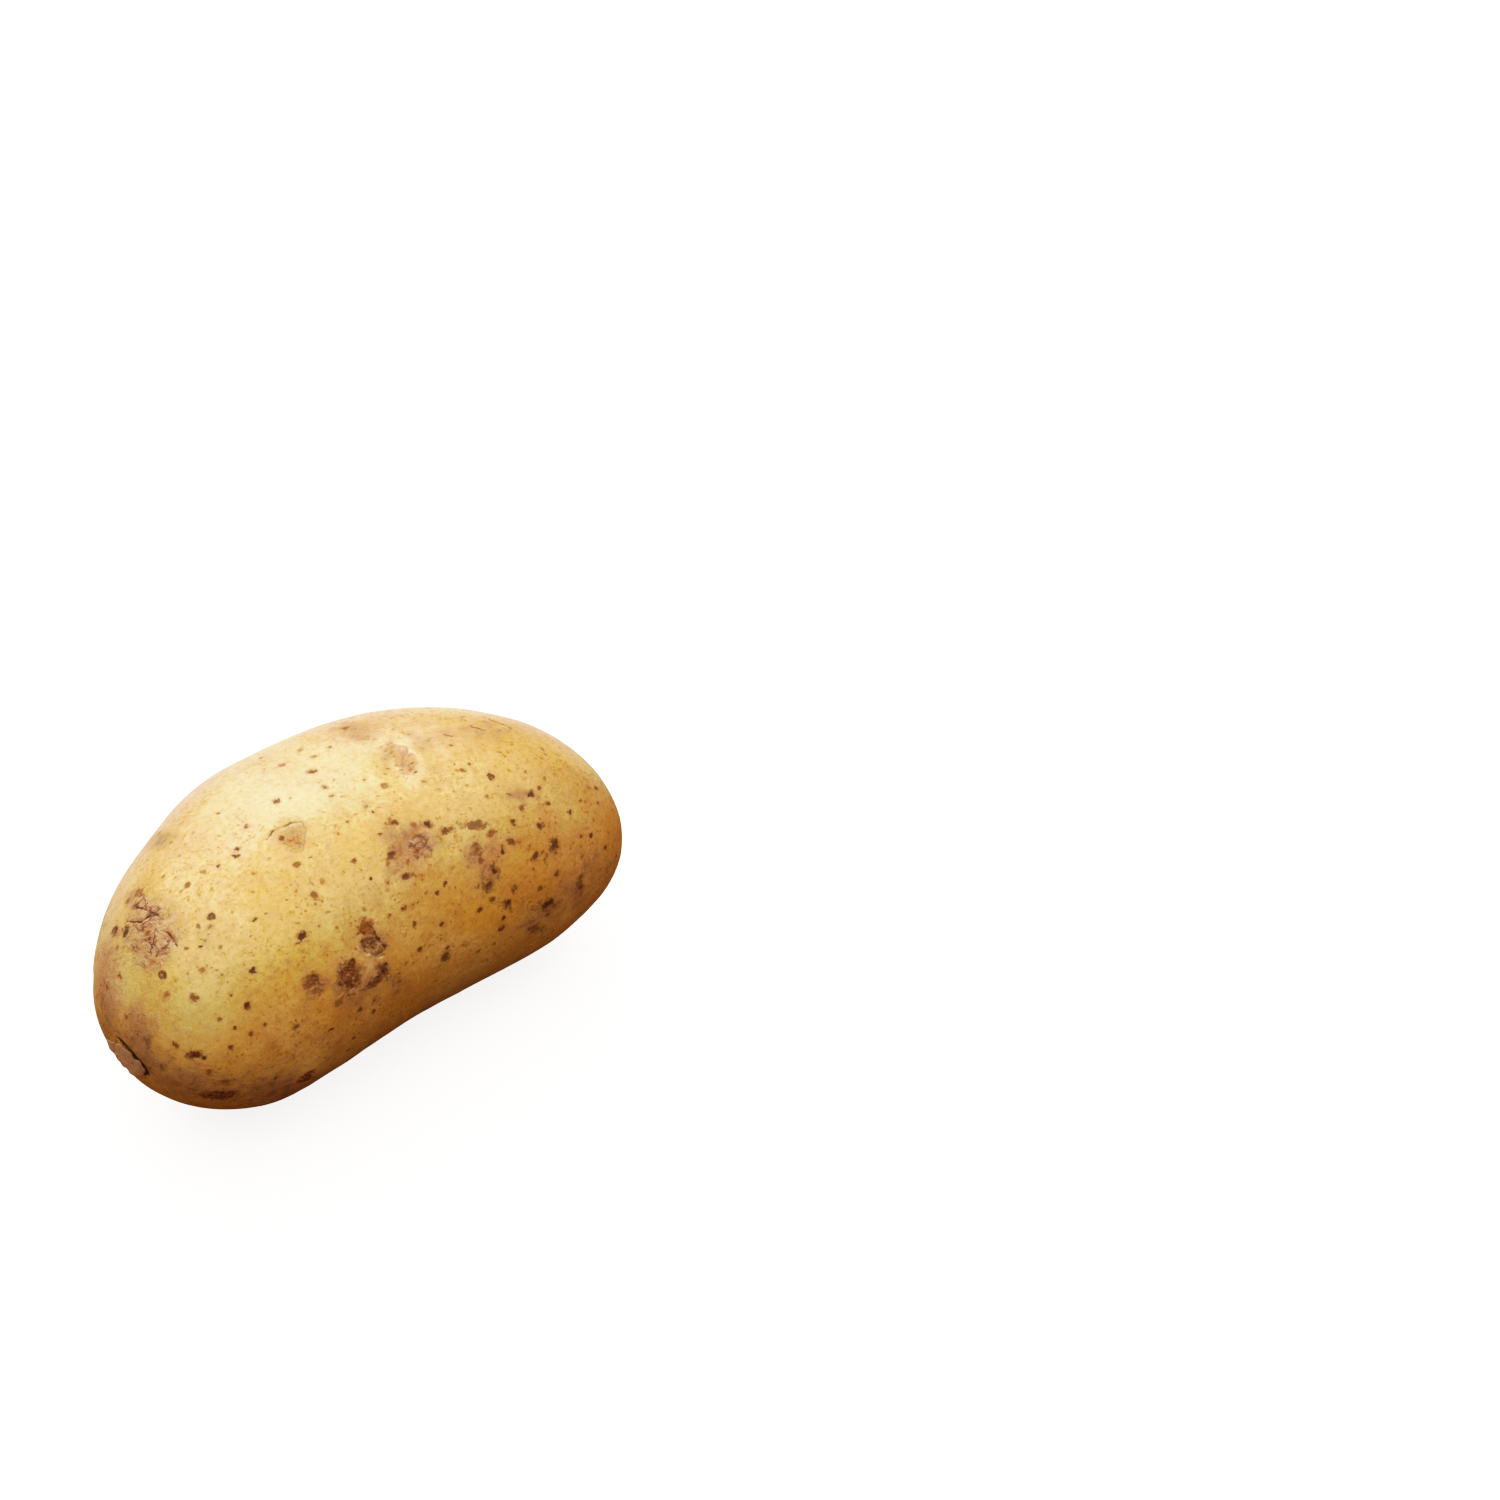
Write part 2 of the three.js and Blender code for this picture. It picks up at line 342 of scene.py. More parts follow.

# Cracks, scratches and edges: points, width in mm, depth in mm, darkness. The last is a groove beside
# the loose flake whose darkness is a painted shadow of the flake.
strokesSeen = [
    ([(127, 921), (134, 922), (141, 922), (145, 918), (151, 915), (157, 914)], 0.42, 0.24, 1.0),
    ([(134, 906), (141, 908), (149, 911), (155, 915), (160, 918), (166, 921)], 0.4, 0.2, 0.75),
    ([(165, 931), (169, 934), (172, 938), (177, 945)], 0.5, 0.22, 0.85),
    ([(268, 838), (273, 832), (280, 828), (291, 822), (302, 821)], 0.5, 0.12, 0.75),
    ([(302, 821), (306, 829), (306, 840), (303, 851)], 0.42, 0.05, 0.4),
    ([(303, 851), (295, 853), (286, 850)], 0.4, 0.03, 0.25),
    ([(461, 719), (468, 721)], 0.35, 0.1, 0.6),
    ([(470, 727), (478, 728), (486, 731)], 0.4, 0.14, 0.75),
    ([(489, 719), (498, 723), (508, 726), (512, 728)], 0.42, 0.16, 0.9),
    ([(445, 733), (454, 736)], 0.45, 0.1, 0.65),
    ([(537, 754), (544, 758)], 0.5, 0.14, 0.9),
    ([(555, 753), (560, 757)], 0.45, 0.12, 0.8),
    ([(384, 965), (384, 972), (381, 978)], 0.4, 0.25, 0.8),
    ([(371, 926), (375, 934), (380, 942), (387, 947)], 0.45, 0.16, 0.6),
    # A groove along the loose flake's inner edge, darkened as its painted shadow.
    ([(118, 1039), (123, 1046), (130, 1054), (138, 1063), (144, 1070), (147, 1077)], 1.5, 0.4, 1.0),
]

# The bed that the loose flake has peeled from: a line, and how far and deep it is sunk, in mm.
peeled = {
    "line": [(112, 1037), (117, 1045), (124, 1053), (131, 1061), (138, 1068), (144, 1074)],
    "reach": 3.0,
    "depth": 0.3,
}

# Crusts: (across, down, half width, half height, depth, roughness, darkness), in mm.
crustsSeen = [
    (350, 977, 2.4, 3.0, 0.12, 0.3, 0.8),
    (313, 984, 1.5, 2.5, 0.1, 0.26, 0.45),
    (369, 946, 1.5, 1.5, 0.3, 0.3, 0.5),
    (194, 1054, 1.6, 0.95, 0.05, 0.14, 1.0),
    (378, 952, 1.1, 1.1, 0.1, 0.3, 0.45),
    (383, 972, 0.9, 1.6, 0.1, 0.24, 0.7),
    (375, 982, 1.4, 0.8, 0.1, 0.24, 0.7),
    (218, 1096, 3.6, 1.5, 0.1, 0.3, 1.0),
    (365, 929, 1.0, 1.5, 0.12, 0.2, 0.3),
    (307, 1077, 1.8, 1.2, 0.1, 0.3, 0.9),
]

# Stains: (across, down, half width, half height, strength), in mm. Russet is brown corky skin, and its
# long stains along the lower and left rims are painted shade; tan a broad tint, with painted shade at
# the left rim; dusk a dark granular smudge, pale and wound the rim and the floor of raw skin, and some
# pale stains are a painted highlight, painted light and painted glints.
russetAndRimShadeSeen = [
    (137, 898, 2.4, 1.6, 0.8), (148, 915, 3.8, 3.0, 0.95), (152, 938, 4.2, 3.8, 0.95),
    (150, 957, 2.6, 1.8, 0.7), (117, 933, 1.6, 1.2, 0.7), (403, 858, 3.6, 4.4, 0.7),
    (417, 846, 2.4, 2.0, 1.0), (396, 836, 2.4, 2.4, 0.6), (413, 826, 2.4, 1.2, 0.7),
    (476, 855, 2.6, 3.0, 0.62), (485, 872, 2.4, 3.6, 0.66), (494, 850, 2.2, 2.0, 0.5),
    (540, 912, 3.4, 2.4, 0.6), (553, 905, 3.0, 2.2, 0.6), (531, 925, 3.0, 1.6, 0.6),
    (575, 892, 3.0, 3.4, 0.55), (293, 838, 2.5, 2.5, 0.9),
    (160, 839, 3.4, 2.0, 0.75), (360, 732, 3.2, 1.6, 0.85), (139, 1034, 3.0, 5.5, 1.0),
    (520, 794, 3.4, 1.0, 0.6), (388, 752, 1.4, 2.0, 0.75), (347, 730, 3.0, 1.2, 0.85),
    (222, 1082, 4.0, 1.8, 0.55), (600, 870, 4.5, 6.0, 0.35), (312, 895, 1.6, 1.4, 0.3),
    (352, 1000, 4.0, 1.6, 0.5), (398, 985, 2.4, 2.6, 0.5), (204, 936, 2.2, 2.6, 0.3),
    (350, 978, 3.6, 4.0, 0.75), (370, 982, 3.0, 1.8, 0.8), (382, 972, 1.8, 2.6, 0.8),
    (374, 944, 2.6, 3.0, 0.6), (314, 985, 2.4, 3.2, 0.55),
    (145, 1058, 2.6, 3.6, 1.0), (403, 772, 1.6, 1.0, 0.5), (360, 917, 1.6, 1.2, 0.2),
    # The three long stains on the next line are painted shade along the lower and left rims.
    (280, 1090, 9.0, 3.0, 0.8), (185, 1082, 6.0, 3.0, 0.75), (108, 985, 3.0, 9.0, 0.72),
    (160, 1066, 3.0, 2.4, 0.7), (480, 732, 7.0, 1.8, 0.5), (425, 742, 4.0, 1.6, 0.5),
    (300, 1083, 4.5, 1.8, 0.7), (220, 1093, 6.0, 1.4, 0.8), (412, 842, 4.4, 3.0, 0.75),
]
tanAndRimShadeSeen = [
    (570, 850, 16, 22, 0.7), (480, 850, 12, 14, 0.5), (410, 840, 9, 8, 0.5), (350, 715, 26, 7, 0.6),
    (520, 735, 20, 8, 0.7), (170, 830, 10, 8, 0.5), (240, 770, 16, 6, 0.5), (300, 870, 7, 5, 0.4),
    (560, 780, 14, 10, 0.9), (402, 878, 11, 8, 0.6), (380, 1020, 26, 8, 0.5), (150, 940, 8, 9, 0.5),
    # (112, 985) on the next line is painted shade along the left rim.
    (560, 930, 18, 10, 0.5), (362, 896, 8, 6, 0.6), (112, 985, 5, 12, 0.8), (490, 735, 16, 5, 0.8),
]
duskSeen = [
    (420, 845, 1.7, 1.9, 1.0), (393, 855, 0.9, 1.1, 0.85), (411, 876, 1.3, 0.7, 0.8),
    (427, 824, 1.0, 0.7, 1.0), (446, 832, 1.2, 0.6, 0.9), (475, 825, 2.2, 0.8, 1.0),
    (491, 834, 1.3, 0.5, 0.7), (476, 850, 1.1, 1.6, 0.7), (494, 868, 0.9, 1.6, 0.75),
    (486, 886, 1.5, 0.9, 0.85), (512, 844, 0.9, 0.7, 0.7), (530, 795, 0.9, 0.6, 0.9),
    (554, 844, 1.0, 1.4, 0.85), (536, 857, 0.9, 0.8, 0.7), (548, 905, 1.7, 1.2, 0.8),
    (581, 884, 0.8, 2.0, 0.7), (535, 927, 1.6, 0.8, 0.7), (507, 905, 0.7, 1.2, 0.8),
    (393, 823, 0.9, 0.7, 0.8), (415, 905, 0.7, 0.5, 0.5), (134, 907, 1.2, 0.8, 0.6),
    (157, 912, 1.4, 1.0, 0.65), (140, 893, 1.0, 0.7, 0.6), (303, 937, 0.8, 0.6, 1.0),
]
paleAndPaintedLightSeen = [
    # (278, 800) and (330, 770) are a painted highlight, the four tiny spots from (368, 947) to (381,
    # 957) painted glints, and (188, 1022) and (125, 985) painted light on the lower left.
    (404, 746, 1.4, 1.6, 0.9), (411, 755, 0.8, 1.8, 0.7), (278, 800, 14, 6, 0.5),
    (330, 770, 16, 6, 0.4), (377, 947, 0.5, 0.5, 0.9), (377, 953, 0.5, 0.5, 0.8),
    (381, 957, 0.5, 0.5, 0.8), (368, 953, 0.5, 0.5, 0.7), (372, 966, 1.3, 1.6, 0.35),
    (364, 914, 1.0, 0.8, 0.5), (188, 1022, 9, 8, 0.5), (125, 985, 5, 9, 0.45),
]
woundSeen = [
    (401, 758, 1.2, 1.7, 1.1), (397, 751, 0.9, 1.4, 1.0), (409, 764, 1.2, 1.4, 1.1),
    (366, 926, 1.4, 1.8, 0.8), (294, 840, 2.0, 1.8, 0.6),
]
# Flaky skin, given the same way: the raised scab, and parts of the others.
flakySeen = [
    (137, 898, 2.2, 1.5, 0.8), (148, 915, 3.8, 3.0, 1.0), (152, 938, 4.2, 3.8, 1.0),
    (150, 957, 2.6, 1.8, 0.8), (292, 838, 2.2, 2.0, 0.3), (417, 846, 2.4, 2.0, 0.6),
    (370, 945, 2.0, 2.0, 0.6),
]

# How the marks that aren't listed are drawn: seeded, on the side that the photograph hides,
# with small freckles all over the narrow end. A pair is a range. Sizes are in mm.
drawn = {
    "seed": 41,
    "hiddenPores": 230,
    "poreWidth": (0.5, 1.7),
    "poreDarkness": (0.35, 1),
    "ringShare": 0.06,
    "hiddenStains": 26,
    "russetSpan": (2, 5),
    "tanSpan": (8, 18),
    "stainStretch": (1, 1.8),
    "stainStrength": (0.4, 0.9),
    "hiddenCrusts": 6,
    "crustSpan": (1.1, 2.2),
    "crustStretch": (1, 1.5),
    "crustDarkness": (0.6, 1),
    "crustDepth": 0.25,
    "hiddenCracks": 5,
    "crackSway": 0.6,
    "crackStep": 1.1,
    "crackWidth": (0.3, 0.5),
    "crackDepth": 0.1,
    "crackDarkness": (0.35, 0.7),
    "endFreckles": 150,
    "endSpan": 0.62,         # how far the freckles reach from the tip, in half lengths
    "endCrowding": 0.8,      # below 1, they thin out towards the tip
    "freckleWidth": (0.35, 0.9),
    "freckleDarkness": (0.3, 0.75),
}

# The relief of the marks, in mm.
relief = {
    "ripple": ((13, 0.2), (5, 0.07), (1.9, 0.022)),   # (size, height) of the skin's own unevenness
    "wobble": 0.3,           # how far the edges of marks stray
    "poreWobble": 0.4,       # the share of that which a pore's edge has
    "poreStretch": (1.0, 1.16),
    "poreDepth": 0.07,       # as a share of its width
    "poreLip": 0.02,
    "poreFrom": (0.5, 1.4),  # the widths between which a pore gets its relief
    "ringAt": 0.55,          # where a ring is darkest, as a share of its half width
    "crackEnd": 0.4,         # a crack's width at its ends, as a share of its width
    "crackReach": 0.3,       # how far past its edge a crack's field is kept
    "crackLip": 0.25,        # as a share of its depth
    "crackLipWidth": 0.3,
    "crackSlope": 0.1,
    "crustLip": 0.03,
    "crumbs": ((0.95, 0.55), (0.55, 0.3), (1.9, 0.15)),   # (size, share) of a crust's crumbs
    "crustTurn": 0.2,        # radians, for the crusts in the photograph
    "crustRough": (0.3, 0.4),    # height of the crumbs, in hidden crusts and in the stem scar
    "platelet": 0.3,         # height of the flaky skin's platelets
    "plateletSize": ((1.5, 1.0), (0.8, 0.5)),
    "groove": 0.16,          # how near to zero the platelets' field makes a groove
}
outside = 9                  # a share of a mark's size that is well outside it

random = np.random.default_rng(drawn["seed"])
wobble = relief["wobble"] * np.stack([lumps(onBody, 1.1, 11 + i) for i in range(3)], -1)
ragged = onBody + wobble

fine = np.zeros(len(onBody))                  # heights in mm
for number, (size, rise) in enumerate(relief["ripple"]):
    fine += rise * lumps(onBody, size, 21 + number)

masks = {name: np.zeros(len(onBody)) for name in
         ("poreTone", "crustTone", "russet", "tan", "dusk", "pale", "wound", "flaky", "freckles",
          "crackNear", "crackTone", "crackSide")}
masks["pore"] = np.full(len(onBody), -1.0)
masks["crust"] = np.full(len(onBody), -1.0)


# A mark's field is 1 at its middle, 0 at its edge and below 0 outside, so the material can roughen
# the edge. The strongest mark at a point keeps its tone there.
def mark(field, tone, value, darkness):
    stronger = value > masks[field]
    masks[field] = np.where(stronger, value, masks[field])
    masks[tone] = np.where(stronger, darkness, masks[tone])


# Two offsets, turned by an angle in radians.
def turnedBy(u, v, angle):
    return u * math.cos(angle) + v * math.sin(angle), v * math.cos(angle) - u * math.sin(angle)


# A pore: an oval with a low lip and a sunken middle. A ring has its field highest halfway out.
def addPore(place, width, darkness, ring=False):
    global fine
    u, v, distance = offsetsFrom(onBody + relief["poreWobble"] * wobble, place)
    a, b = turnedBy(u, v, random.uniform(0, math.pi))
    stretch = random.uniform(*relief["poreStretch"])
    share = np.hypot(a / stretch, b * stretch) / (width / 2)
    share = np.where(distance < 3 * width, share, outside)
    middle = relief["ringAt"]
    value = 1 - np.abs(share - middle) / (1 - middle) if ring else 1 - share
    mark("pore", "poreTone", value, darkness)
    lip = relief["poreLip"] * bell(share - 1.2, 0.35)
    floor = relief["poreDepth"] * width * (1 - smooth(0.1, 1.0, share))
    fine += smooth(*relief["poreFrom"], width) * (lip - floor)


# How far each point is from a chain of short straight runs, how far along it the nearest place is,
# from 0 to 1, and which side of it the point is on.
def besideLine(chain):
    nearest = np.full(len(onBody), np.inf)
    reach, side = np.zeros(len(onBody)), np.ones(len(onBody))
    count = len(chain) - 1
    for number in range(count):
        start, run = chain[number], chain[number + 1] - chain[number]
        share = np.clip((onBody - start) @ run / (run @ run), 0, 1)
        offset = onBody - start - share[:, None] * run
        distance = np.linalg.norm(offset, axis=1)
        closer = distance < nearest
        nearest = np.where(closer, distance, nearest)
        reach = np.where(closer, (number + share) / count, reach)
        side = np.where(closer, np.sign((offset * np.cross(normals, run)).sum(1)), side)
    return nearest, reach, side


# A crack or scratch along such a chain, thinner at both ends. Its field is the distance in half
# widths, negative on one side, so the middle stays sharp between grid points.
def addStroke(chain, width, depth, darkness):
    global fine
    nearest, reach, side = besideLine(chain)
    end = relief["crackEnd"]
    half = width / 2 * (end + (1 - end) * np.sin(math.pi * np.clip(reach, 0, 1)) ** 0.5)
    near = bell(nearest, half + relief["crackReach"])
    stronger = near > masks["crackNear"]
    for name, value in (("crackNear", near), ("crackTone", darkness),
                        ("crackSide", np.clip(side * nearest / half, -5, 5))):
        masks[name] = np.where(stronger, value, masks[name])
    fine += relief["crackLip"] * depth * bell(nearest - 1.6 * half, relief["crackLipWidth"])
    fine -= depth * bell(nearest, half + relief["crackSlope"])


# A crust: an oval pit whose floor is broken into crumbs of three sizes.
crumbs = sum(share * lumps(onBody, size, 31 + number)
             for number, (size, share) in enumerate(relief["crumbs"]))


def addCrust(place, across, down, depth, rough, darkness, turn):
    global fine
    u, v, distance = offsetsFrom(ragged, place)
    a, b = turnedBy(u, v, turn)
    share = np.hypot(a / across, b / down)
    share = np.where(distance < 3 * max(across, down), share, outside)
    mark("crust", "crustTone", 1 - share, darkness)
    inside = 1 - smooth(0.7, 1.1, share)
    fine += inside * (rough * crumbs - depth) + relief["crustLip"] * bell(share - 1.15, 0.25)


# A stain in the photograph: a soft oval of colour, of that size across and down the photograph.
def addStain(name, place, across, down, strength):
    offset = ragged - place["centre"]
    a, b = offset @ camRight / across, offset @ camUp / down
    away = offset @ camBack / max(across, down)
    share = np.sqrt(a * a + b * b + 0.3 * away * away)
    masks[name] = np.maximum(masks[name], strength * bell(share, 1))


# A hidden stain: the same, of that size along and across the tuber.
def addHiddenStain(name, place, along, across, strength):
    u, v, _ = offsetsFrom(ragged, place)
    up = (ragged - place["centre"]) @ place["normal"] / max(along, across)
    share = np.sqrt((u / along) ** 2 + (v / across) ** 2 + up ** 2)
    masks[name] = np.maximum(masks[name], strength * bell(share, 1))


for across, down, width, darkness in poresSeen:
    addPore(skinAt(across, down), width, darkness)
for across, down, width, darkness in ringsSeen:
    addPore(skinAt(across, down), width, darkness, ring=True)
for pixels, width, depth, darkness in strokesSeen:
    addStroke(np.array([skinAt(*pixel)["centre"] for pixel in pixels]), width, depth, darkness)
bed = np.array([skinAt(*pixel)["centre"] for pixel in peeled["line"]])
fine -= peeled["depth"] * bell(besideLine(bed)[0], peeled["reach"])
for across, down, *rest in crustsSeen:
    addCrust(skinAt(across, down), *rest, relief["crustTurn"])
for name, stains in (("russet", russetAndRimShadeSeen), ("tan", tanAndRimShadeSeen), ("dusk", duskSeen),
                     ("pale", paleAndPaintedLightSeen), ("wound", woundSeen), ("flaky", flakySeen)):
    for across, down, *rest in stains:
        addStain(name, skinAt(across, down), *rest)
print("marks placed by eye:", len(poresSeen) + len(ringsSeen) + len(strokesSeen) + len(crustsSeen))


# Places drawn at random over the body, kept where the photograph can't see them.
def hiddenPlaces(count):
    places = []
    while len(places) < count:
        place = placeOf(unit(random.normal(size=(1, 3))))
        sight = unit(place["centre"] + shift - camPlace)
        if place["normal"] @ sight > -photoView["leastFacing"]:
            places.append(place)
    return places


def draw(name):
    return random.uniform(*drawn[name])


for place in hiddenPlaces(drawn["hiddenPores"]):
    low, high = drawn["poreWidth"]
    width = low + (high - low) * random.uniform() ** 2
    darkness = draw("poreDarkness")
    addPore(place, width, darkness, ring=random.uniform() < drawn["ringShare"])
for place in hiddenPlaces(drawn["hiddenStains"]):
    kind = ("russet", "tan", "tan")[random.integers(3)]
    span = draw(kind + "Span")
    length = span * draw("stainStretch")
    addHiddenStain(kind, place, length, span, draw("stainStrength"))
for place in hiddenPlaces(drawn["hiddenCrusts"]):
    span = draw("crustSpan")
    addCrust(place, span, span * draw("crustStretch"), drawn["crustDepth"], relief["crustRough"][0],
             draw("crustDarkness"), 0)
    addHiddenStain("russet", place, span * 1.7, span * 1.8, 0.7)
for place in hiddenPlaces(drawn["hiddenCracks"]):
    sway = random.uniform(-drawn["crackSway"], drawn["crackSway"], 4).cumsum()
    line = [place["centre"] + place["stemward"] * drawn["crackStep"] * i + place["sideways"] * s
            for i, s in enumerate(sway)]
    width = draw("crackWidth")
    addStroke(np.array(line), width, drawn["crackDepth"], draw("crackDarkness"))
for _ in range(drawn["endFreckles"]):
    along = 1 - drawn["endSpan"] * random.uniform() ** drawn["endCrowding"]
    place = placeOf(directionOf(along, random.uniform(-180, 180)))
    width = draw("freckleWidth")
    addPore(place, width, draw("freckleDarkness"))

# Eyes on the hidden sides: the old leaf's arched scar, and buds in the dimple. The stem scar is a
# corky crust.
hiddenEye = {
    "first": 3,              # the eyes before this one show in the photograph
    "scar": (0.5, 0.16, 0.7),        # width, depth, darkness
    "buds": (-0.16, 0.02, 0.18),     # places across the dimple, as shares of the eye's width
    "budHeight": 0.5,
    "budReach": 0.75,
    "stem": (2.4, 2.4, 0.1),         # half length, half width, depth
    "stemDarkness": 0.8,
}
for along, around, width, *_ in eyes[hiddenEye["first"]:]:
    place = placeOf(directionOf(along, around))
    v = np.linspace(-0.52, 0.52, 7) * width
    u = 0.3 * width - v * v / (1.6 * width)
    arc = place["centre"] + u[:, None] * place["stemward"] + v[:, None] * place["sideways"]
    addStroke(arc, *hiddenEye["scar"])
    addHiddenStain("russet", place, 0.26 * width, 0.42 * width, 0.6)
    for side in hiddenEye["buds"]:
        bud = dict(place, centre=place["centre"] + side * width * place["sideways"])
        distance = offsetsFrom(ragged, bud)[2]
        fine += hiddenEye["budHeight"] * bell(distance, hiddenEye["budReach"])
        addHiddenStain("pale", bud, 0.7, 0.7, 0.6)
        addPore(bud, 0.6, 0.6)
stemPlace = placeOf(directionOf(*scars[-1][:2]))
addCrust(stemPlace, *hiddenEye["stem"], relief["crustRough"][1], hiddenEye["stemDarkness"], 0)
addHiddenStain("russet", stemPlace, 5, 5, 0.8)

# The narrow end has more freckles and a tan tint.
s = directions[:, 0]
masks["freckles"] = np.clip(smooth(0.15, 0.75, s) * 0.8 + 0.5 * masks["russet"] + 0.15, 0, 1)
masks["tan"] = np.maximum(masks["tan"], 0.55 * smooth(0.45, 0.95, s))

# Flaky skin: platelets between thin grooves, where a field of lumps crosses zero.
scales = sum(share * lumps(ragged, size, 51 + number)
             for number, (size, share) in enumerate(relief["plateletSize"]))
platelets = np.tanh(4 * np.abs(scales)) - 0.6 + 0.4 * lumps(onBody, 2.6, 53)
fine += relief["platelet"] * masks["flaky"] * platelets
masks["grooves"] = masks["flaky"] * (1 - np.clip(np.abs(scales) / relief["groove"], 0, 1))

# The whole skin, set down on the floor and pressed flat where it rests.
skinPoints = broadSkin + normals * fine[:, None] + shift
skinPoints[:, 2] = np.maximum(skinPoints[:, 2], 0)
print("fine relief from", round(fine.min(), 2), "to", round(fine.max(), 2), "mm")


def makePiece(name, points, faces, material):
    mesh = bpy.data.meshes.new(name)
    mesh.from_pydata((points * mm).tolist(), [], faces.tolist())
    mesh.polygons.foreach_set("use_smooth", np.ones(len(mesh.polygons), bool))
    mesh.materials.append(material)
    mesh.update()
    piece = bpy.data.objects.new(name, mesh)
    bpy.context.scene.collection.objects.link(piece)
    return piece


def addMasks(piece, values):
    for name, numbers in values.items():
        attribute = piece.data.attributes.new(name, "FLOAT", "POINT")
        attribute.data.foreach_set("value", numbers.astype(np.float32))


# Shader nodes. Every helper gives back an output socket; what it is fed is another node's output or
# a plain value.
def feed(tree, socket, value):
    if isinstance(value, bpy.types.NodeSocket):
        tree.links.new(value, socket)
    else:
        socket.default_value = value


def addNode(tree, kind, inputs=None, output=0, **settings):
    node = tree.nodes.new("ShaderNode" + kind)
    for name, value in settings.items():
        setattr(node, name, value)
    for name, value in (inputs or {}).items():
        feed(tree, node.inputs[name], value)
    return node.outputs[output]


def maths(tree, operation, first, second=0.0):
    return addNode(tree, "Math", {0: first, 1: second}, operation=operation)


def blend(tree, share, first, second, how="MIX"):
    return addNode(tree, "Mix", {0: share, 6: first, 7: second}, 2, data_type="RGBA", blend_type=how)


def ramp(tree, value, low, high, least=0.0, most=1.0):
    inputs = {"Value": value, "From Min": low, "From Max": high, "To Min": least, "To Max": most}
    return addNode(tree, "MapRange", inputs, interpolation_type="SMOOTHSTEP")


def noise(tree, vector, size, detail, rough):
    inputs = {"Vector": vector, "Scale": 1 / (size * mm), "Detail": detail, "Roughness": rough}
    return addNode(tree, "TexNoise", inputs)


def masked(tree, name):
    return addNode(tree, "Attribute", output="Fac", attribute_name=name)


def srgb(red, green, blue):
    return (*(((c / 255 + 0.055) / 1.055) ** 2.4 for c in (red, green, blue)), 1)


def startGroup(name, inputs, outputs):
    tree = bpy.data.node_groups.new(name, "ShaderNodeTree")
    for socketName, kind, value in inputs:
        socket = tree.interface.new_socket(socketName, in_out="INPUT", socket_type="NodeSocket" + kind)
        if value is not None:
            socket.default_value = value
    for socketName, kind in outputs:
        tree.interface.new_socket(socketName, in_out="OUTPUT", socket_type="NodeSocket" + kind)
    return tree, tree.nodes.new("NodeGroupInput").outputs, tree.nodes.new("NodeGroupOutput").inputs


def useGroup(tree, group, inputs, output=0):
    node = tree.nodes.new("ShaderNodeGroup")
    node.node_tree = group
    for name, value in inputs.items():
        feed(tree, node.inputs[name], value)
    return node.outputs[output]


# Ragged edge: a field that falls through 0 at a mark's edge, strayed by noise of that grain, becomes
# a mask from 0 to 1.
def raggedEdgeGroup():
    tree, given, made = startGroup("raggedEdge", [
        ("Vector", "Vector", None), ("Field", "Float", 0.0), ("Grain", "Float", 1.0),
        ("Stray", "Float", 0.5), ("Softness", "Float", 0.2)], [("Mask", "Float")])
    scale = maths(tree, "DIVIDE", 1 / mm, given["Grain"])
    inputs = {"Vector": given["Vector"], "Scale": scale, "Detail": 5.0, "Roughness": 0.68}
    stray = maths(tree, "SUBTRACT", addNode(tree, "TexNoise", inputs), 0.5)
    field = maths(tree, "ADD", given["Field"], maths(tree, "MULTIPLY", stray, given["Stray"]))
    least = maths(tree, "MULTIPLY", given["Softness"], -1.0)
    tree.links.new(ramp(tree, field, least, given["Softness"]), made["Mask"])
    return tree


# A place strayed by noise, by up to about a quarter of a cell.
def strayed(tree, place, scale):
    inputs = {"Vector": place, "Scale": maths(tree, "MULTIPLY", scale, 1.7)}
    bent = addNode(tree, "TexNoise", inputs, "Color")
    bent = addNode(tree, "VectorMath", {0: bent, 1: (0.5, 0.5, 0.5)}, operation="SUBTRACT")
    shrink = maths(tree, "DIVIDE", 0.7, scale)
    bent = addNode(tree, "VectorMath", {0: bent, "Scale": shrink}, operation="SCALE")
    return addNode(tree, "VectorMath", {0: place, 1: bent}, operation="ADD")


# Crackle: thin lines along the borders of strayed Voronoi cells, broken up by noise.
def crackleGroup():
    tree, given, made = startGroup("crackle", [
        ("Vector", "Vector", None), ("Cell", "Float", 1.0)], [("Mask", "Float")])
    scale = maths(tree, "DIVIDE", 1 / mm, given["Cell"])
    inputs = {"Vector": strayed(tree, given["Vector"], scale), "Scale": scale}
    border = addNode(tree, "TexVoronoi", inputs, "Distance", feature="DISTANCE_TO_EDGE")
    line = ramp(tree, border, 0.13, 0.02)
    inputs = {"Vector": given["Vector"], "Scale": maths(tree, "MULTIPLY", scale, 0.6), "Detail": 3.0}
    broken = ramp(tree, addNode(tree, "TexNoise", inputs), 0.44, 0.58)
    tree.links.new(maths(tree, "MULTIPLY", line, broken), made["Mask"])
    return tree


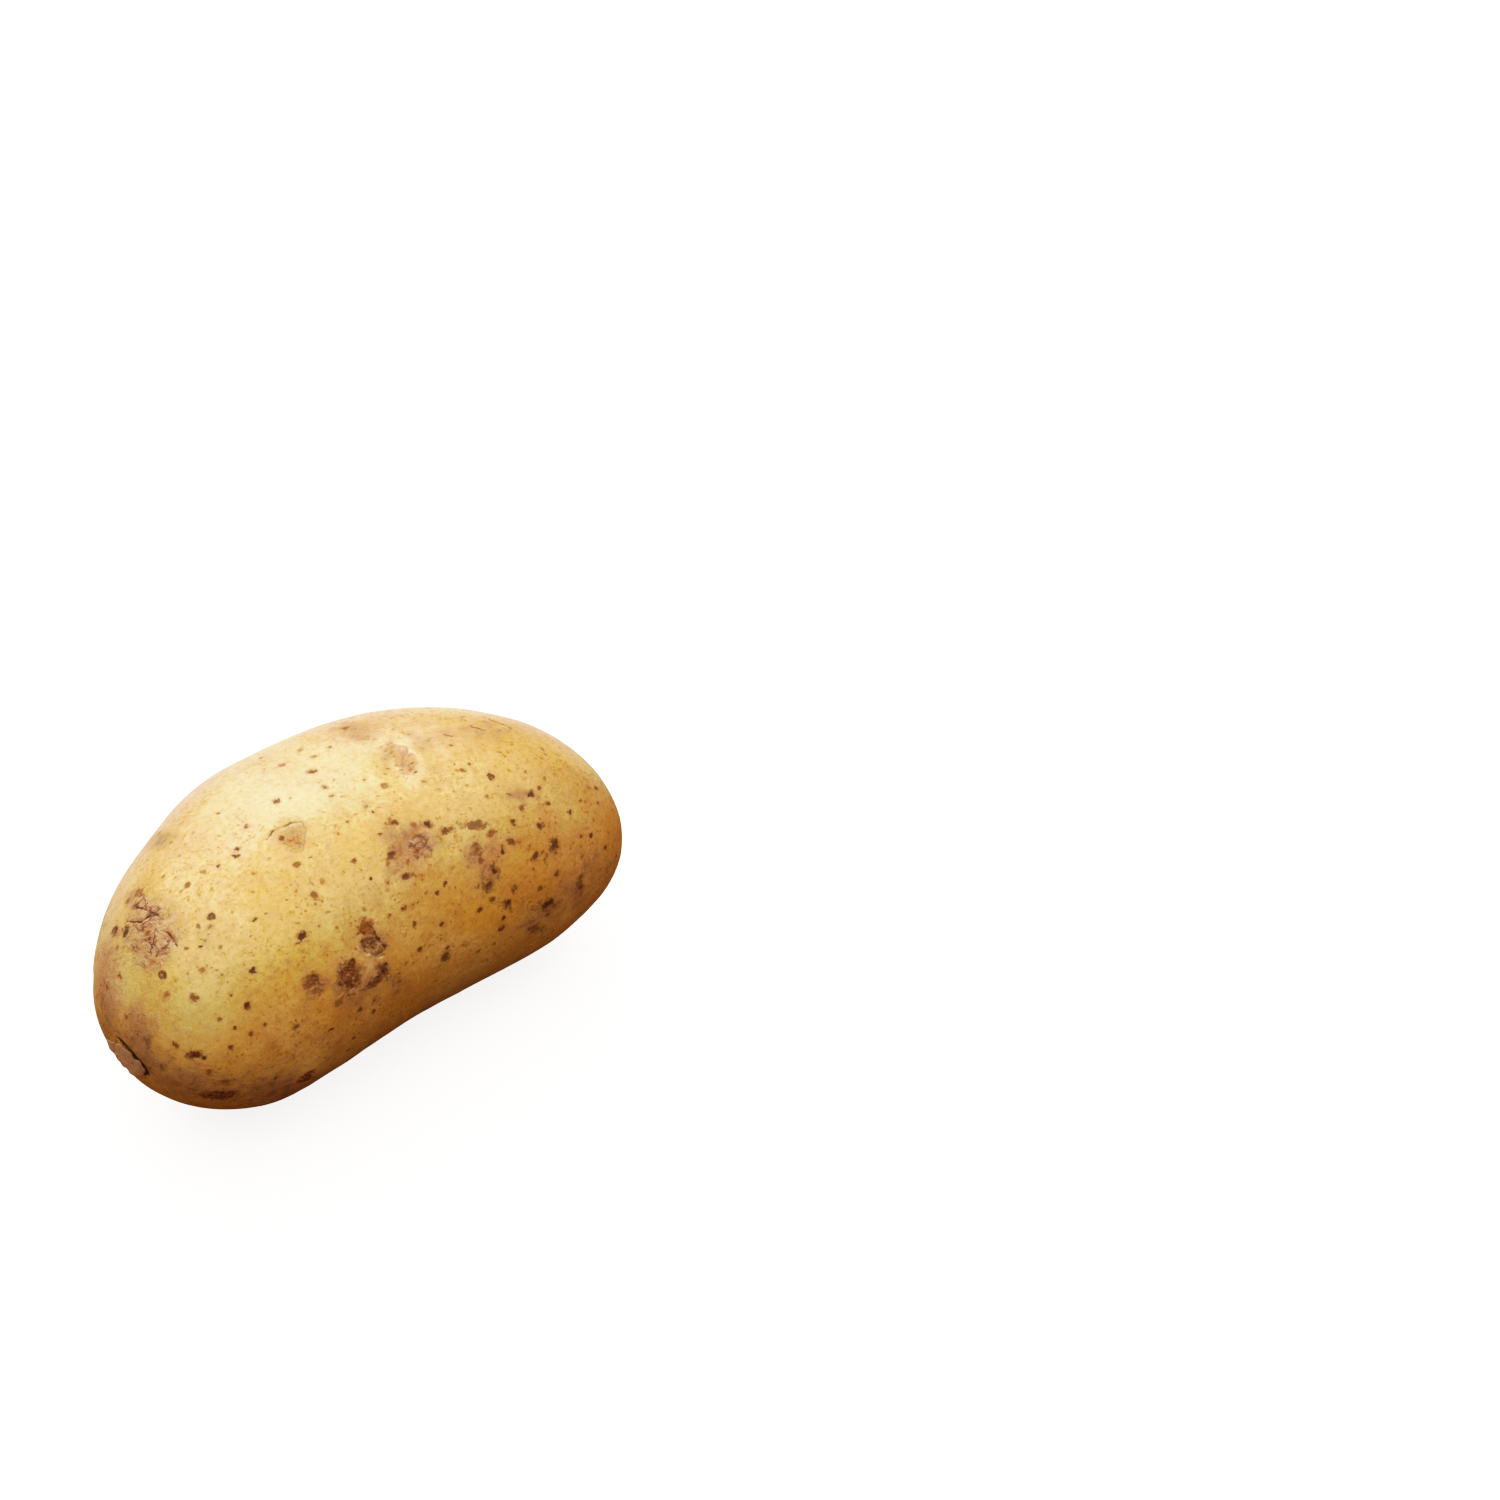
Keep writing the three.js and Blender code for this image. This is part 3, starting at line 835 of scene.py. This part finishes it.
# Flecks: one spot in some cells of a strayed Voronoi pattern, of uneven size and strength.
def flecksGroup():
    tree, given, made = startGroup("flecks", [
        ("Vector", "Vector", None), ("Cell", "Float", 1.0), ("Share", "Float", 0.5),
        ("Reach", "Float", 0.3)], [("Mask", "Float")])
    scale = maths(tree, "DIVIDE", 1 / mm, given["Cell"])
    cells = tree.nodes.new("ShaderNodeTexVoronoi")
    feed(tree, cells.inputs["Vector"], strayed(tree, given["Vector"], scale))
    feed(tree, cells.inputs["Scale"], scale)
    parts = tree.nodes.new("ShaderNodeSeparateColor")
    tree.links.new(cells.outputs["Color"], parts.inputs["Color"])
    chosen = ramp(tree, maths(tree, "SUBTRACT", given["Share"], parts.outputs["Red"]), 0.0, 0.25)
    size = maths(tree, "ADD", maths(tree, "MULTIPLY", parts.outputs["Green"], 0.75), 0.25)
    reach = maths(tree, "MULTIPLY", given["Reach"], size)
    spot = ramp(tree, maths(tree, "DIVIDE", cells.outputs["Distance"], reach), 1.0, 0.4)
    strength = maths(tree, "ADD", maths(tree, "MULTIPLY", parts.outputs["Blue"], 0.6), 0.4)
    spot = maths(tree, "MULTIPLY", spot, chosen)
    tree.links.new(maths(tree, "MULTIPLY", spot, strength), made["Mask"])
    return tree


skinLook = {
    "colours": {
        "yellow": srgb(233, 184, 72),
        "cream": srgb(242, 204, 118),
        "gold": srgb(219, 160, 62),
        # tan, also laid as painted shade along the left rim
        "tan": srgb(214, 152, 78),
        "smudge": srgb(206, 146, 68),
        "speckle": srgb(180, 106, 22),
        # russet, also laid as painted shade along the lower and left rims
        "russet": srgb(187, 136, 104),
        "rust": srgb(114, 74, 42),
        "pore": srgb(134, 88, 50),
        "darkPore": srgb(82, 48, 24),
        "dusk": srgb(112, 72, 46),
        "crack": srgb(100, 56, 26),
        "crust": srgb(154, 90, 42),
        "darkCrust": srgb(90, 44, 16),
        "crumb": srgb(216, 158, 92),
        # painted glints in the crusts
        "paintedGlint": srgb(246, 230, 200),
        "wound": srgb(214, 144, 60),
        "raw": srgb(156, 92, 38),
        # pale raw skin, also laid as a painted highlight, painted light and painted glints
        "pale": srgb(242, 218, 150),
        "groove": srgb(108, 62, 38),
        "scale": srgb(222, 174, 132),
    },
    # Noise: size in mm, detail and roughness.
    "noises": {
        "mottle": (1.0, 4, 0.76),
        "ripple": (1.8, 4, 0.6),
        "russet": (0.5, 4, 0.7),
        "flaky": (0.8, 5, 0.7),
        "crumbs": (0.65, 5, 0.74),
        "cracks": (0.7, 4, 0.68),
        "dryGrain": (0.6, 4, 0.65),
    },
    # Patterns: the same, then the noise values between which they set in, and what they give there.
    "patterns": {
        "clouds": (20, 3, 0.5, 0.38, 0.66, 0, 1),
        "gold": (7, 5, 0.62, 0.46, 0.74, 0, 0.55),
        "smudges": (2.4, 5, 0.7, 0.52, 0.7, 0, 0.6),
        "streaks": (0.9, 5, 0.65, 0.5, 0.75, 0, 0.3),
        "crowding": (6, 4, 0.65, 0.4, 0.66, 0.12, 0.85),
        "grain": (0.8, 4, 0.72, 0.55, 0.68, 0, 1),
        "blots": (1.6, 5, 0.72, 0.5, 0.64, 0, 1),
        "scales": (1.0, 5, 0.7, 0.42, 0.6, 0.1, 0.8),
        "rawness": (0.9, 4, 0.65, 0.42, 0.66, 0, 1),
        "gaps": (1.4, 3, 0.5, 0.36, 0.56, 0.35, 1),
        "fibres": (0.9, 5, 0.75, 0.46, 0.64, 0, 0.7),
    },
    # Marks: the value of the field at the edge, the grain of the edge in mm, its stray and softness.
    "marks": {
        "tan": (0.55, 4.5, 2.0, 0.5),
        "russet": (0.4, 2.0, 1.7, 0.45),
        "dusk": (0.42, 0.9, 2.4, 0.3),
        "flaky": (0.35, 1.0, 0.9, 0.3),
        "pale": (0.4, 1.2, 0.9, 0.35),
        "wound": (0.4, 0.9, 0.9, 0.2),
        "halo": (-0.45, 0.8, 1.8, 0.6),
        "pore": (0.12, 0.7, 3.2, 0.34),
        "crust": (0.12, 0.8, 1.7, 0.3),
    },
    # How much of the colour each one takes.
    "shares": {
        "tan": 0.6, "grain": 0.85, "russet": 0.74, "blots": 0.6, "grime": 0.6, "dusk": 0.78,
        "freckles": 0.42, "loneFreckles": 0.6, "grooves": 0.8, "pale": 0.7, "wound": 0.88,
        "halo": 0.5,
    },
    # Flecks: cell in mm, share of the cells, and reach in cells.
    "flecks": {
        "grime": (0.75, 0.7, 0.46),
        "freckles": (1.0, 0.7, 0.32),
        "loneFreckles": (2.6, 0.2, 0.12),
        # flecks of painted glints in the crusts
        "paintedGlints": (0.8, 0.4, 0.26),
        "dryFlecks": (0.9, 0.6, 0.4),
    },
    "specks": ((0.9, 0.46, 0.8), (1.8, 0.3, 0.9)),       # cell in mm, reach in cells, strength
    "mottleFrom": (0.25, 0.75),
    "mottleShade": {"Red": (0.83, 1.13), "Green": (0.77, 1.15), "Blue": (0.66, 1.19)},
    "tanWarmth": 0.16,            # how much a tan stain favours the gold
    "streakScale": (0.2, 1, 1),   # streaks run along the tuber
    "grainScale": (0.6, 1, 1),
    "netCell": 1.5,               # mm, of the crackle in flaky skin
    "crackStray": 2.8,
    # Bump height of each, in tenths of a millimetre.
    "bumps": {"mottle": 1.2, "ripple": 1.2, "pore": -0.4, "crack": -1, "russet": 0.8, "blots": -0.5,
              "flaky": 2.4, "grooves": -1.5, "crust": 3.0},
    "roughness": 0.4,
    "russetRoughness": 0.1,       # added to it, as are the next two
    "mottleRoughness": 0.12,
    "crustRoughness": (0.25, -0.1),
    "specular": 0.25,
    "coatIndex": 1.78,
    "coatRoughness": 0.38,
    "coatLeast": 0.05,            # coat left on a mark
    "subsurface": 0.12,
    "subsurfaceReach": 1.4,       # mm
    "subsurfaceTint": (1.0, 0.45, 0.15),
}


# A pattern from skinLook; `shift` is added to its noise.
def pattern(tree, place, name, shift=0.0):
    *kind, low, high, least, most = skinLook["patterns"][name]
    value = maths(tree, "ADD", noise(tree, place, *kind), shift)
    return ramp(tree, value, low, high, least, most)


# The mask of a mark from skinLook, from the field that says how far inside its edge a point is.
def patch(tree, place, name, field):
    edge, grain, stray, softness = skinLook["marks"][name]
    inputs = {"Vector": place, "Field": maths(tree, "SUBTRACT", field, edge), "Grain": grain,
              "Stray": stray, "Softness": softness}
    return useGroup(tree, raggedEdge, inputs)


# Skin tone: yellow clouded with cream and gold, smudged with tan, finely mottled and speckled.
def skinToneGroup():
    tree, given, made = startGroup("skinTone", [
        ("Vector", "Vector", None), ("Tan", "Float", 0.0)],
        [("Color", "Color"), ("Relief", "Float"), ("Dull", "Float")])
    place = given["Vector"]
    colours, shares = skinLook["colours"], skinLook["shares"]
    colour = blend(tree, pattern(tree, place, "clouds"), colours["yellow"], colours["cream"])
    warmth = maths(tree, "MULTIPLY", given["Tan"], skinLook["tanWarmth"])
    colour = blend(tree, pattern(tree, place, "gold", warmth), colour, colours["gold"])
    tan = maths(tree, "MULTIPLY", patch(tree, place, "tan", given["Tan"]), shares["tan"])
    colour = blend(tree, tan, colour, colours["tan"])
    colour = blend(tree, pattern(tree, place, "smudges"), colour, colours["smudge"])
    along = addNode(tree, "Mapping", {"Vector": place, "Scale": skinLook["streakScale"]})
    colour = blend(tree, pattern(tree, along, "streaks"), colour, colours["tan"])
    mottle = noise(tree, place, *skinLook["noises"]["mottle"])
    shade = addNode(tree, "CombineColor", {
        channel: ramp(tree, mottle, *skinLook["mottleFrom"], *shades)
        for channel, shades in skinLook["mottleShade"].items()})
    colour = blend(tree, 1.0, colour, shade, "MULTIPLY")
    crowding = pattern(tree, place, "crowding")
    drawnOut = addNode(tree, "Mapping", {"Vector": place, "Scale": skinLook["grainScale"]})
    grain = maths(tree, "MULTIPLY", crowding, shares["grain"])
    grain = maths(tree, "MULTIPLY", pattern(tree, drawnOut, "grain"), grain)
    colour = blend(tree, grain, colour, colours["speckle"])
    dull = maths(tree, "ADD", grain, ramp(tree, mottle, 0.62, 0.3, 0.0, 0.6))
    for cell, reach, strength in skinLook["specks"]:
        inputs = {"Vector": place, "Cell": cell, "Share": crowding, "Reach": reach}
        specks = maths(tree, "MULTIPLY", useGroup(tree, flecks, inputs), strength)
        colour = blend(tree, specks, colour, colours["speckle"])
        dull = maths(tree, "ADD", dull, specks)
    tree.links.new(dull, made["Dull"])
    tree.links.new(colour, made["Color"])
    tree.links.new(mottle, made["Relief"])
    return tree


raggedEdge = raggedEdgeGroup()
crackle = crackleGroup()
flecks = flecksGroup()
skinTone = skinToneGroup()


def startMaterial(name):
    material = bpy.data.materials.new(name)
    material.use_nodes = True
    material.node_tree.nodes.clear()
    return material, material.node_tree


# The outputs of the skin tone at that place, with that much tan.
def useSkinTone(tree, place, tan):
    tone = tree.nodes.new("ShaderNodeGroup")
    tone.node_tree = skinTone
    feed(tree, tone.inputs["Vector"], place)
    feed(tree, tone.inputs["Tan"], tan)
    return tone.outputs


# A bump of `rise` in mm goes with a height of 1.
def finishMaterial(tree, colour, roughness, coat, height, rise):
    bump = addNode(tree, "Bump", {"Height": height, "Distance": rise * mm, "Strength": 1.0})
    shader = tree.nodes.new("ShaderNodeBsdfPrincipled")
    feed(tree, shader.inputs["Base Color"], colour)
    feed(tree, shader.inputs["Roughness"], roughness)
    feed(tree, shader.inputs["Normal"], bump)
    feed(tree, shader.inputs["Coat Weight"], coat)
    shader.inputs["Specular IOR Level"].default_value = skinLook["specular"]
    shader.inputs["Coat IOR"].default_value = skinLook["coatIndex"]
    shader.inputs["Coat Roughness"].default_value = skinLook["coatRoughness"]
    shader.inputs["Subsurface Weight"].default_value = skinLook["subsurface"]
    shader.inputs["Subsurface Radius"].default_value = skinLook["subsurfaceTint"]
    shader.inputs["Subsurface Scale"].default_value = skinLook["subsurfaceReach"] * mm
    end = tree.nodes.new("ShaderNodeOutputMaterial")
    tree.links.new(shader.outputs["BSDF"], end.inputs["Surface"])


def skinMaterial():
    material, tree = startMaterial("potatoSkin")
    colours, shares, noises = skinLook["colours"], skinLook["shares"], skinLook["noises"]
    place = addNode(tree, "TexCoord", output="Object")

    def spots(name, density=1.0):
        cell, share, reach = skinLook["flecks"][name]
        share = maths(tree, "MULTIPLY", density, share)
        return useGroup(tree, flecks, {"Vector": place, "Cell": cell, "Share": share, "Reach": reach})

    def plus(value, amount):
        return maths(tree, "ADD", value, amount)

    def times(value, amount):
        return maths(tree, "MULTIPLY", value, amount)

    def most(first, *others):
        for other in others:
            first = maths(tree, "MAXIMUM", first, other)
        return first

    def laid(mask, name, paint):
        return blend(tree, times(mask, shares[name]), colour, colours[paint])

    # The tan attribute also carries painted shade along the left rim.
    tone = useSkinTone(tree, place, masked(tree, "tan"))
    colour, mottle = tone["Color"], tone["Relief"]

    # Russet: ragged patches, with darker blots and flecks in them. Along the lower and left rims the
    # russet mask is painted shade.
    russet = patch(tree, place, "russet", masked(tree, "russet"))
    colour = laid(russet, "russet", "russet")
    blots = times(pattern(tree, place, "blots"), russet)
    colour = laid(blots, "blots", "rust")
    colour = laid(times(spots("grime"), russet), "grime", "rust")

    # Dusk: dark granular smudges.
    dusk = patch(tree, place, "dusk", masked(tree, "dusk"))
    colour = laid(dusk, "dusk", "dusk")

    # Freckles: more of them where the attribute asks.
    colour = laid(spots("freckles", masked(tree, "freckles")), "freckles", "rust")
    colour = laid(spots("loneFreckles"), "loneFreckles", "rust")

    # Flaky skin: lighter platelets with dark grooves between them.
    flaky = patch(tree, place, "flaky", masked(tree, "flaky"))
    colour = blend(tree, times(flaky, pattern(tree, place, "scales")), colour, colours["scale"])
    grooves = ramp(tree, masked(tree, "grooves"), 0.1, 0.7, 0.0, 0.5)
    net = useGroup(tree, crackle, {"Vector": place, "Cell": skinLook["netCell"]})
    grooves = most(grooves, times(net, flaky))
    colour = laid(grooves, "grooves", "groove")

    # Pale and raw skin. The pale mask also carries a painted highlight, painted light and painted
    # glints.
    colour = laid(patch(tree, place, "pale", masked(tree, "pale")), "pale", "pale")
    wound = times(patch(tree, place, "wound", masked(tree, "wound")), shares["wound"])
    raw = blend(tree, pattern(tree, place, "rawness"), colours["wound"], colours["raw"])
    colour = blend(tree, wound, colour, raw)

    # Pores: a tan halo and a dark core.
    poreField, poreTone = masked(tree, "pore"), masked(tree, "poreTone")
    colour = laid(patch(tree, place, "halo", poreField), "halo", "smudge")
    core = patch(tree, place, "pore", poreField)
    coreColour = blend(tree, ramp(tree, poreTone, 0.4, 1.1), colours["pore"], colours["darkPore"])
    coreShare = times(core, ramp(tree, poreTone, 0.1, 1.0, 0.42, 0.9))
    colour = blend(tree, coreShare, colour, coreColour)

    # Cracks: dark where the side field passes through 0, close to a crack.
    stray = times(plus(noise(tree, place, *noises["cracks"]), -0.5), skinLook["crackStray"])
    aside = maths(tree, "ABSOLUTE", plus(masked(tree, "crackSide"), stray))
    crack = times(ramp(tree, aside, 1.3, 0.4), ramp(tree, masked(tree, "crackNear"), 0.3, 0.75))
    crack = times(times(crack, masked(tree, "crackTone")), pattern(tree, place, "gaps"))
    colour = blend(tree, crack, colour, colours["crack"])

    # Crusts: dark hollows, brown crumbs and a few light ones, with painted glints.
    crust = patch(tree, place, "crust", masked(tree, "crust"))
    crumb = noise(tree, place, *noises["crumbs"])
    crustAndGlintColour = blend(tree, ramp(tree, crumb, 0.36, 0.5), colours["darkCrust"], colours["crust"])
    crustAndGlintColour = blend(tree, ramp(tree, crumb, 0.5, 0.64), crustAndGlintColour, colours["crumb"])
    crustAndGlintColour = blend(tree, spots("paintedGlints"), crustAndGlintColour, colours["paintedGlint"])
    crustShare = times(crust, ramp(tree, masked(tree, "crustTone"), 0.2, 1.0, 0.5, 1.0))
    colour = blend(tree, crustShare, colour, crustAndGlintColour)

    # Gloss: a coat where the skin is clean.
    roughness = plus(skinLook["roughness"], times(russet, skinLook["russetRoughness"]))
    roughness = plus(roughness, times(mottle, skinLook["mottleRoughness"]))
    crusty = ramp(tree, crumb, 0.4, 0.7, *skinLook["crustRoughness"])
    roughness = plus(roughness, times(crust, crusty))
    marks = plus(most(core, crust, times(russet, 0.6), crack, dusk), tone["Dull"])
    coat = ramp(tree, marks, 0.0, 1.0, 1.0, skinLook["coatLeast"])

    # Relief too fine for the mesh.
    heights = {
        "mottle": mottle, "ripple": noise(tree, place, *noises["ripple"]), "pore": core,
        "crack": crack, "russet": times(russet, noise(tree, place, *noises["russet"])),
        "blots": blots, "flaky": times(flaky, noise(tree, place, *noises["flaky"])),
        "grooves": grooves, "crust": times(crust, crumb),
    }
    height = 0.0
    for name, value in heights.items():
        height = plus(times(value, skinLook["bumps"][name]), height)
    finishMaterial(tree, colour, roughness, coat, height, 0.1)
    return material


# The loose flake: dry skin, darker along its inner edge, which is painted shade.
def flakeMaterial():
    material, tree = startMaterial("drySkin")
    colours = skinLook["colours"]
    place = addNode(tree, "TexCoord", output="Object")
    tone = useSkinTone(tree, place, flake["tan"])
    colour = blend(tree, flake["dryShare"], tone["Color"], flake["dry"])
    inner = maths(tree, "MULTIPLY", masked(tree, "innerSide"), flake["innerShadeShare"])
    colour = blend(tree, inner, colour, flake["dull"])
    colour = blend(tree, pattern(tree, place, "fibres"), colour, colours["smudge"])
    cell, share, reach = skinLook["flecks"]["dryFlecks"]
    spots = useGroup(tree, flecks, {"Vector": place, "Cell": cell, "Share": share, "Reach": reach})
    colour = blend(tree, maths(tree, "MULTIPLY", spots, flake["fleckShare"]), colour, colours["rust"])
    roughness = ramp(tree, tone["Relief"], 0.2, 0.8, *flake["roughness"])
    height = noise(tree, place, *skinLook["noises"]["dryGrain"])
    finishMaterial(tree, colour, roughness, 0.0, height, 0.08)
    return material


skin = makePiece("skin", skinPoints, quads, skinMaterial())
addMasks(skin, masks)
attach(skin, "root")
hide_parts("potato")
print("skin:", len(skin.data.vertices), "points")

flake = {
    "line": peeled["line"],
    "halfWidth": (0.2, 1.4, 2.0, 2.2, 2.0, 1.2),        # mm, at each point of the line
    "lift": (1.1, 0.7, 0.52, 0.42, 0.3, 0.0),           # mm above the skin, before it peeled
    "halfThickness": 0.14,
    "ragged": 0.3,           # how far its edges stray, as a share of the half width
    "curl": -0.12,           # rise of its inner edge, as a share of the half width; below 0 it dips
    "steps": (48, 24),       # rows along it, points round it
    "dry": srgb(230, 200, 170),
    "dryShare": 0.84,
    # Painted shade along the flake's inner side: its colour and share.
    "dull": srgb(176, 138, 108),
    "innerShadeShare": 0.6,
    "fleckShare": 0.7,
    "tan": 0.6,
    "roughness": (0.5, 0.7),
}


# The flake is a lens-shaped section carried along a line on the skin: half its width towards the
# camera's right, half its thickness along the skin's normal, both shrinking to nothing at each end.
def flakeSurface():
    rows, columns = flake["steps"]
    places = [skinAt(*pixel) for pixel in flake["line"]]
    share = np.linspace(0, 1, rows + 1)
    knots = np.linspace(0, 1, len(places))
    raised = [broadHeight(place["centre"][None])[0] for place in places]
    centres = np.array([p["centre"] + r * p["normal"] for p, r in zip(places, raised)])
    along = np.stack([np.interp(share, knots, centres[:, axis]) for axis in range(3)], -1)
    up = unit(np.stack([np.interp(share, knots, [p["normal"][axis] for p in places])
                        for axis in range(3)], -1))
    forward = unit(np.gradient(along, axis=0))
    inward = unit(np.cross(up, forward))
    closing = np.sqrt(np.clip(1 - np.abs(2 * share - 1) ** 14, 0, 1))    # 0 at each end, or else near 1
    half = np.interp(share, knots, flake["halfWidth"]) * closing
    half = half * (1 + flake["ragged"] * lumps(along, 0.9, 61))
    lift = np.interp(share, knots, flake["lift"])
    around = np.linspace(0, 2 * math.pi, columns, endpoint=False)
    aside = np.cos(around)
    above = np.sin(around) * flake["halfThickness"]
    base = (along + lift[:, None] * up)[:, None]
    spread = (half[:, None] * aside)[..., None] * inward[:, None]
    stand = (closing[:, None] * above + flake["curl"] * half[:, None] * aside)[..., None] * up[:, None]
    points = (base + spread + stand + shift).reshape(-1, 3)
    start = np.arange(rows)[:, None] * columns
    column = np.arange(columns)
    following = (column + 1) % columns
    faces = np.stack([start + column, start + following, start + columns + following,
                      start + columns + column], -1).reshape(-1, 4)
    innerSide = np.broadcast_to((1 + aside) / 2, (rows + 1, columns)).reshape(-1)
    return points, faces, innerSide


flakePoints, flakeFaces, innerSide = flakeSurface()
looseFlake = makePiece("loose_flake", flakePoints, flakeFaces, flakeMaterial())
addMasks(looseFlake, {"innerSide": innerSide})
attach(looseFlake, "root")
print("loose flake:", len(flakeFaces), "quads")

# Floor, light and camera.
studio = {
    "floorSize": 6.0,                 # metres
    "floorColour": (0.9, 0.89, 0.87, 1),
    "floorGlow": 1.15,                # light from below, as on a light table
    "mirrorGlow": 0.4,                # how much of that shows in the skin's gloss
    "mirrorTurn": -28,                # degrees to the right of straight behind, where it shows
    "mirrorEdge": 0.14,               # metres over which it sets in
    "floorShade": (0.8, 0.79, 0.77, 1),       # tint of its faint clouds
    "bounceColour": (0.22, 0.1, 0.03, 1),     # what the floor throws back at the potato
    "airDiffuse": (0.155, 0.098, 0.03, 1),    # what the air lights the potato with
    "airMirrored": (0.4, 0.4, 0.4, 1),        # what its gloss shows of the air
    "airSeen": (2, 2, 1.98, 1),               # what the camera sees of the air
    "lamps": {                        # size and place in metres, power in watts
        "ceilingPanel": (2.4, (0.02, -0.02, 0.95), 25.2),
        "windowPanel": (1.2, (0.28, 0.98, 0.72), 9.5),
    },
    # Scene value to shown value: deep shade and a long soft shoulder. All past the last is white.
    "toneCurve": ((0.05, 0.027), (0.15, 0.103), (0.3, 0.247), (0.5, 0.465), (0.7, 0.59), (1.0, 0.79),
                  (1.3, 0.9)),
    "white": 2.0,
}


def floorMaterial():
    material, tree = startMaterial("paleFloor")
    rays = tree.nodes.new("ShaderNodeLightPath")
    place = addNode(tree, "TexCoord", output="Object")
    clouds = ramp(tree, noise(tree, place, 30, 3, 0.5), 0.3, 0.7, 0.0, 0.03)
    pale = blend(tree, clouds, studio["floorColour"], studio["floorShade"])
    turn = math.radians(photoView["turn"] + studio["mirrorTurn"])
    ahead = (math.sin(turn), math.cos(turn), 0)
    away = addNode(tree, "VectorMath", {0: place, 1: ahead}, "Value", operation="DOT_PRODUCT")
    behind = ramp(tree, away, 0.0, studio["mirrorEdge"])
    mirrored = blend(tree, behind, studio["bounceColour"], pale)
    colour = blend(tree, rays.outputs["Is Glossy Ray"], studio["bounceColour"], mirrored)
    colour = blend(tree, rays.outputs["Is Camera Ray"], colour, pale)
    lit = addNode(tree, "BsdfDiffuse", {"Color": colour})
    mirrorGlow = maths(tree, "MULTIPLY", maths(tree, "MULTIPLY", rays.outputs["Is Glossy Ray"], behind),
                       studio["mirrorGlow"])
    strength = maths(tree, "MULTIPLY", rays.outputs["Is Camera Ray"], studio["floorGlow"])
    strength = maths(tree, "ADD", strength, mirrorGlow)
    glow = addNode(tree, "Emission", {"Color": (1, 0.995, 0.985, 1), "Strength": strength})
    shader = addNode(tree, "AddShader", {0: lit, 1: glow})
    end = tree.nodes.new("ShaderNodeOutputMaterial")
    tree.links.new(shader, end.inputs["Surface"])
    return material


half = studio["floorSize"] / 2 / mm
floorCorners = np.array([(-half, -half, 0), (half, -half, 0), (half, half, 0), (-half, half, 0)])
floor = makePiece("floor", floorCorners, np.array([[0, 1, 2, 3]]), floorMaterial())

world = bpy.data.worlds.new("studioAir")
world.use_nodes = True
worldTree = world.node_tree
worldTree.nodes.clear()
rays = worldTree.nodes.new("ShaderNodeLightPath")
airColour = blend(worldTree, rays.outputs["Is Glossy Ray"], studio["airDiffuse"], studio["airMirrored"])
airColour = blend(worldTree, rays.outputs["Is Camera Ray"], airColour, studio["airSeen"])
air = addNode(worldTree, "Background", {"Color": airColour})
worldEnd = worldTree.nodes.new("ShaderNodeOutputWorld")
worldTree.links.new(air, worldEnd.inputs["Surface"])
bpy.context.scene.world = world

for name, (size, place, power) in studio["lamps"].items():
    lamp = bpy.data.lights.new(name, "AREA")
    lamp.shape = "DISK"
    lamp.size = size
    lamp.energy = power
    panel = bpy.data.objects.new(name, lamp)
    panel.location = place
    panel.rotation_euler = Vector(place).to_track_quat("Z", "Y").to_euler()
    bpy.context.scene.collection.objects.link(panel)

lens = bpy.data.cameras.new("camera")
lens.lens = photoView["lens"]
lens.sensor_width = photoView["sensor"]
camera = bpy.data.objects.new("camera", lens)
axes = np.eye(4)
axes[:3] = np.stack([camRight, camUp, camBack, camPlace * mm], -1)
camera.matrix_world = Matrix(axes.tolist())
bpy.context.scene.collection.objects.link(camera)
bpy.context.scene.camera = camera

shown = bpy.context.scene.view_settings
shown.view_transform = "Standard"
shown.use_curve_mapping = True
tones = shown.curve_mapping
tones.clip_max_x = studio["white"]
tones.curves[3].points[-1].location = (studio["white"], 1)
for at, value in studio["toneCurve"]:
    tones.curves[3].points.new(at, value)
tones.update()
print("studio ready")
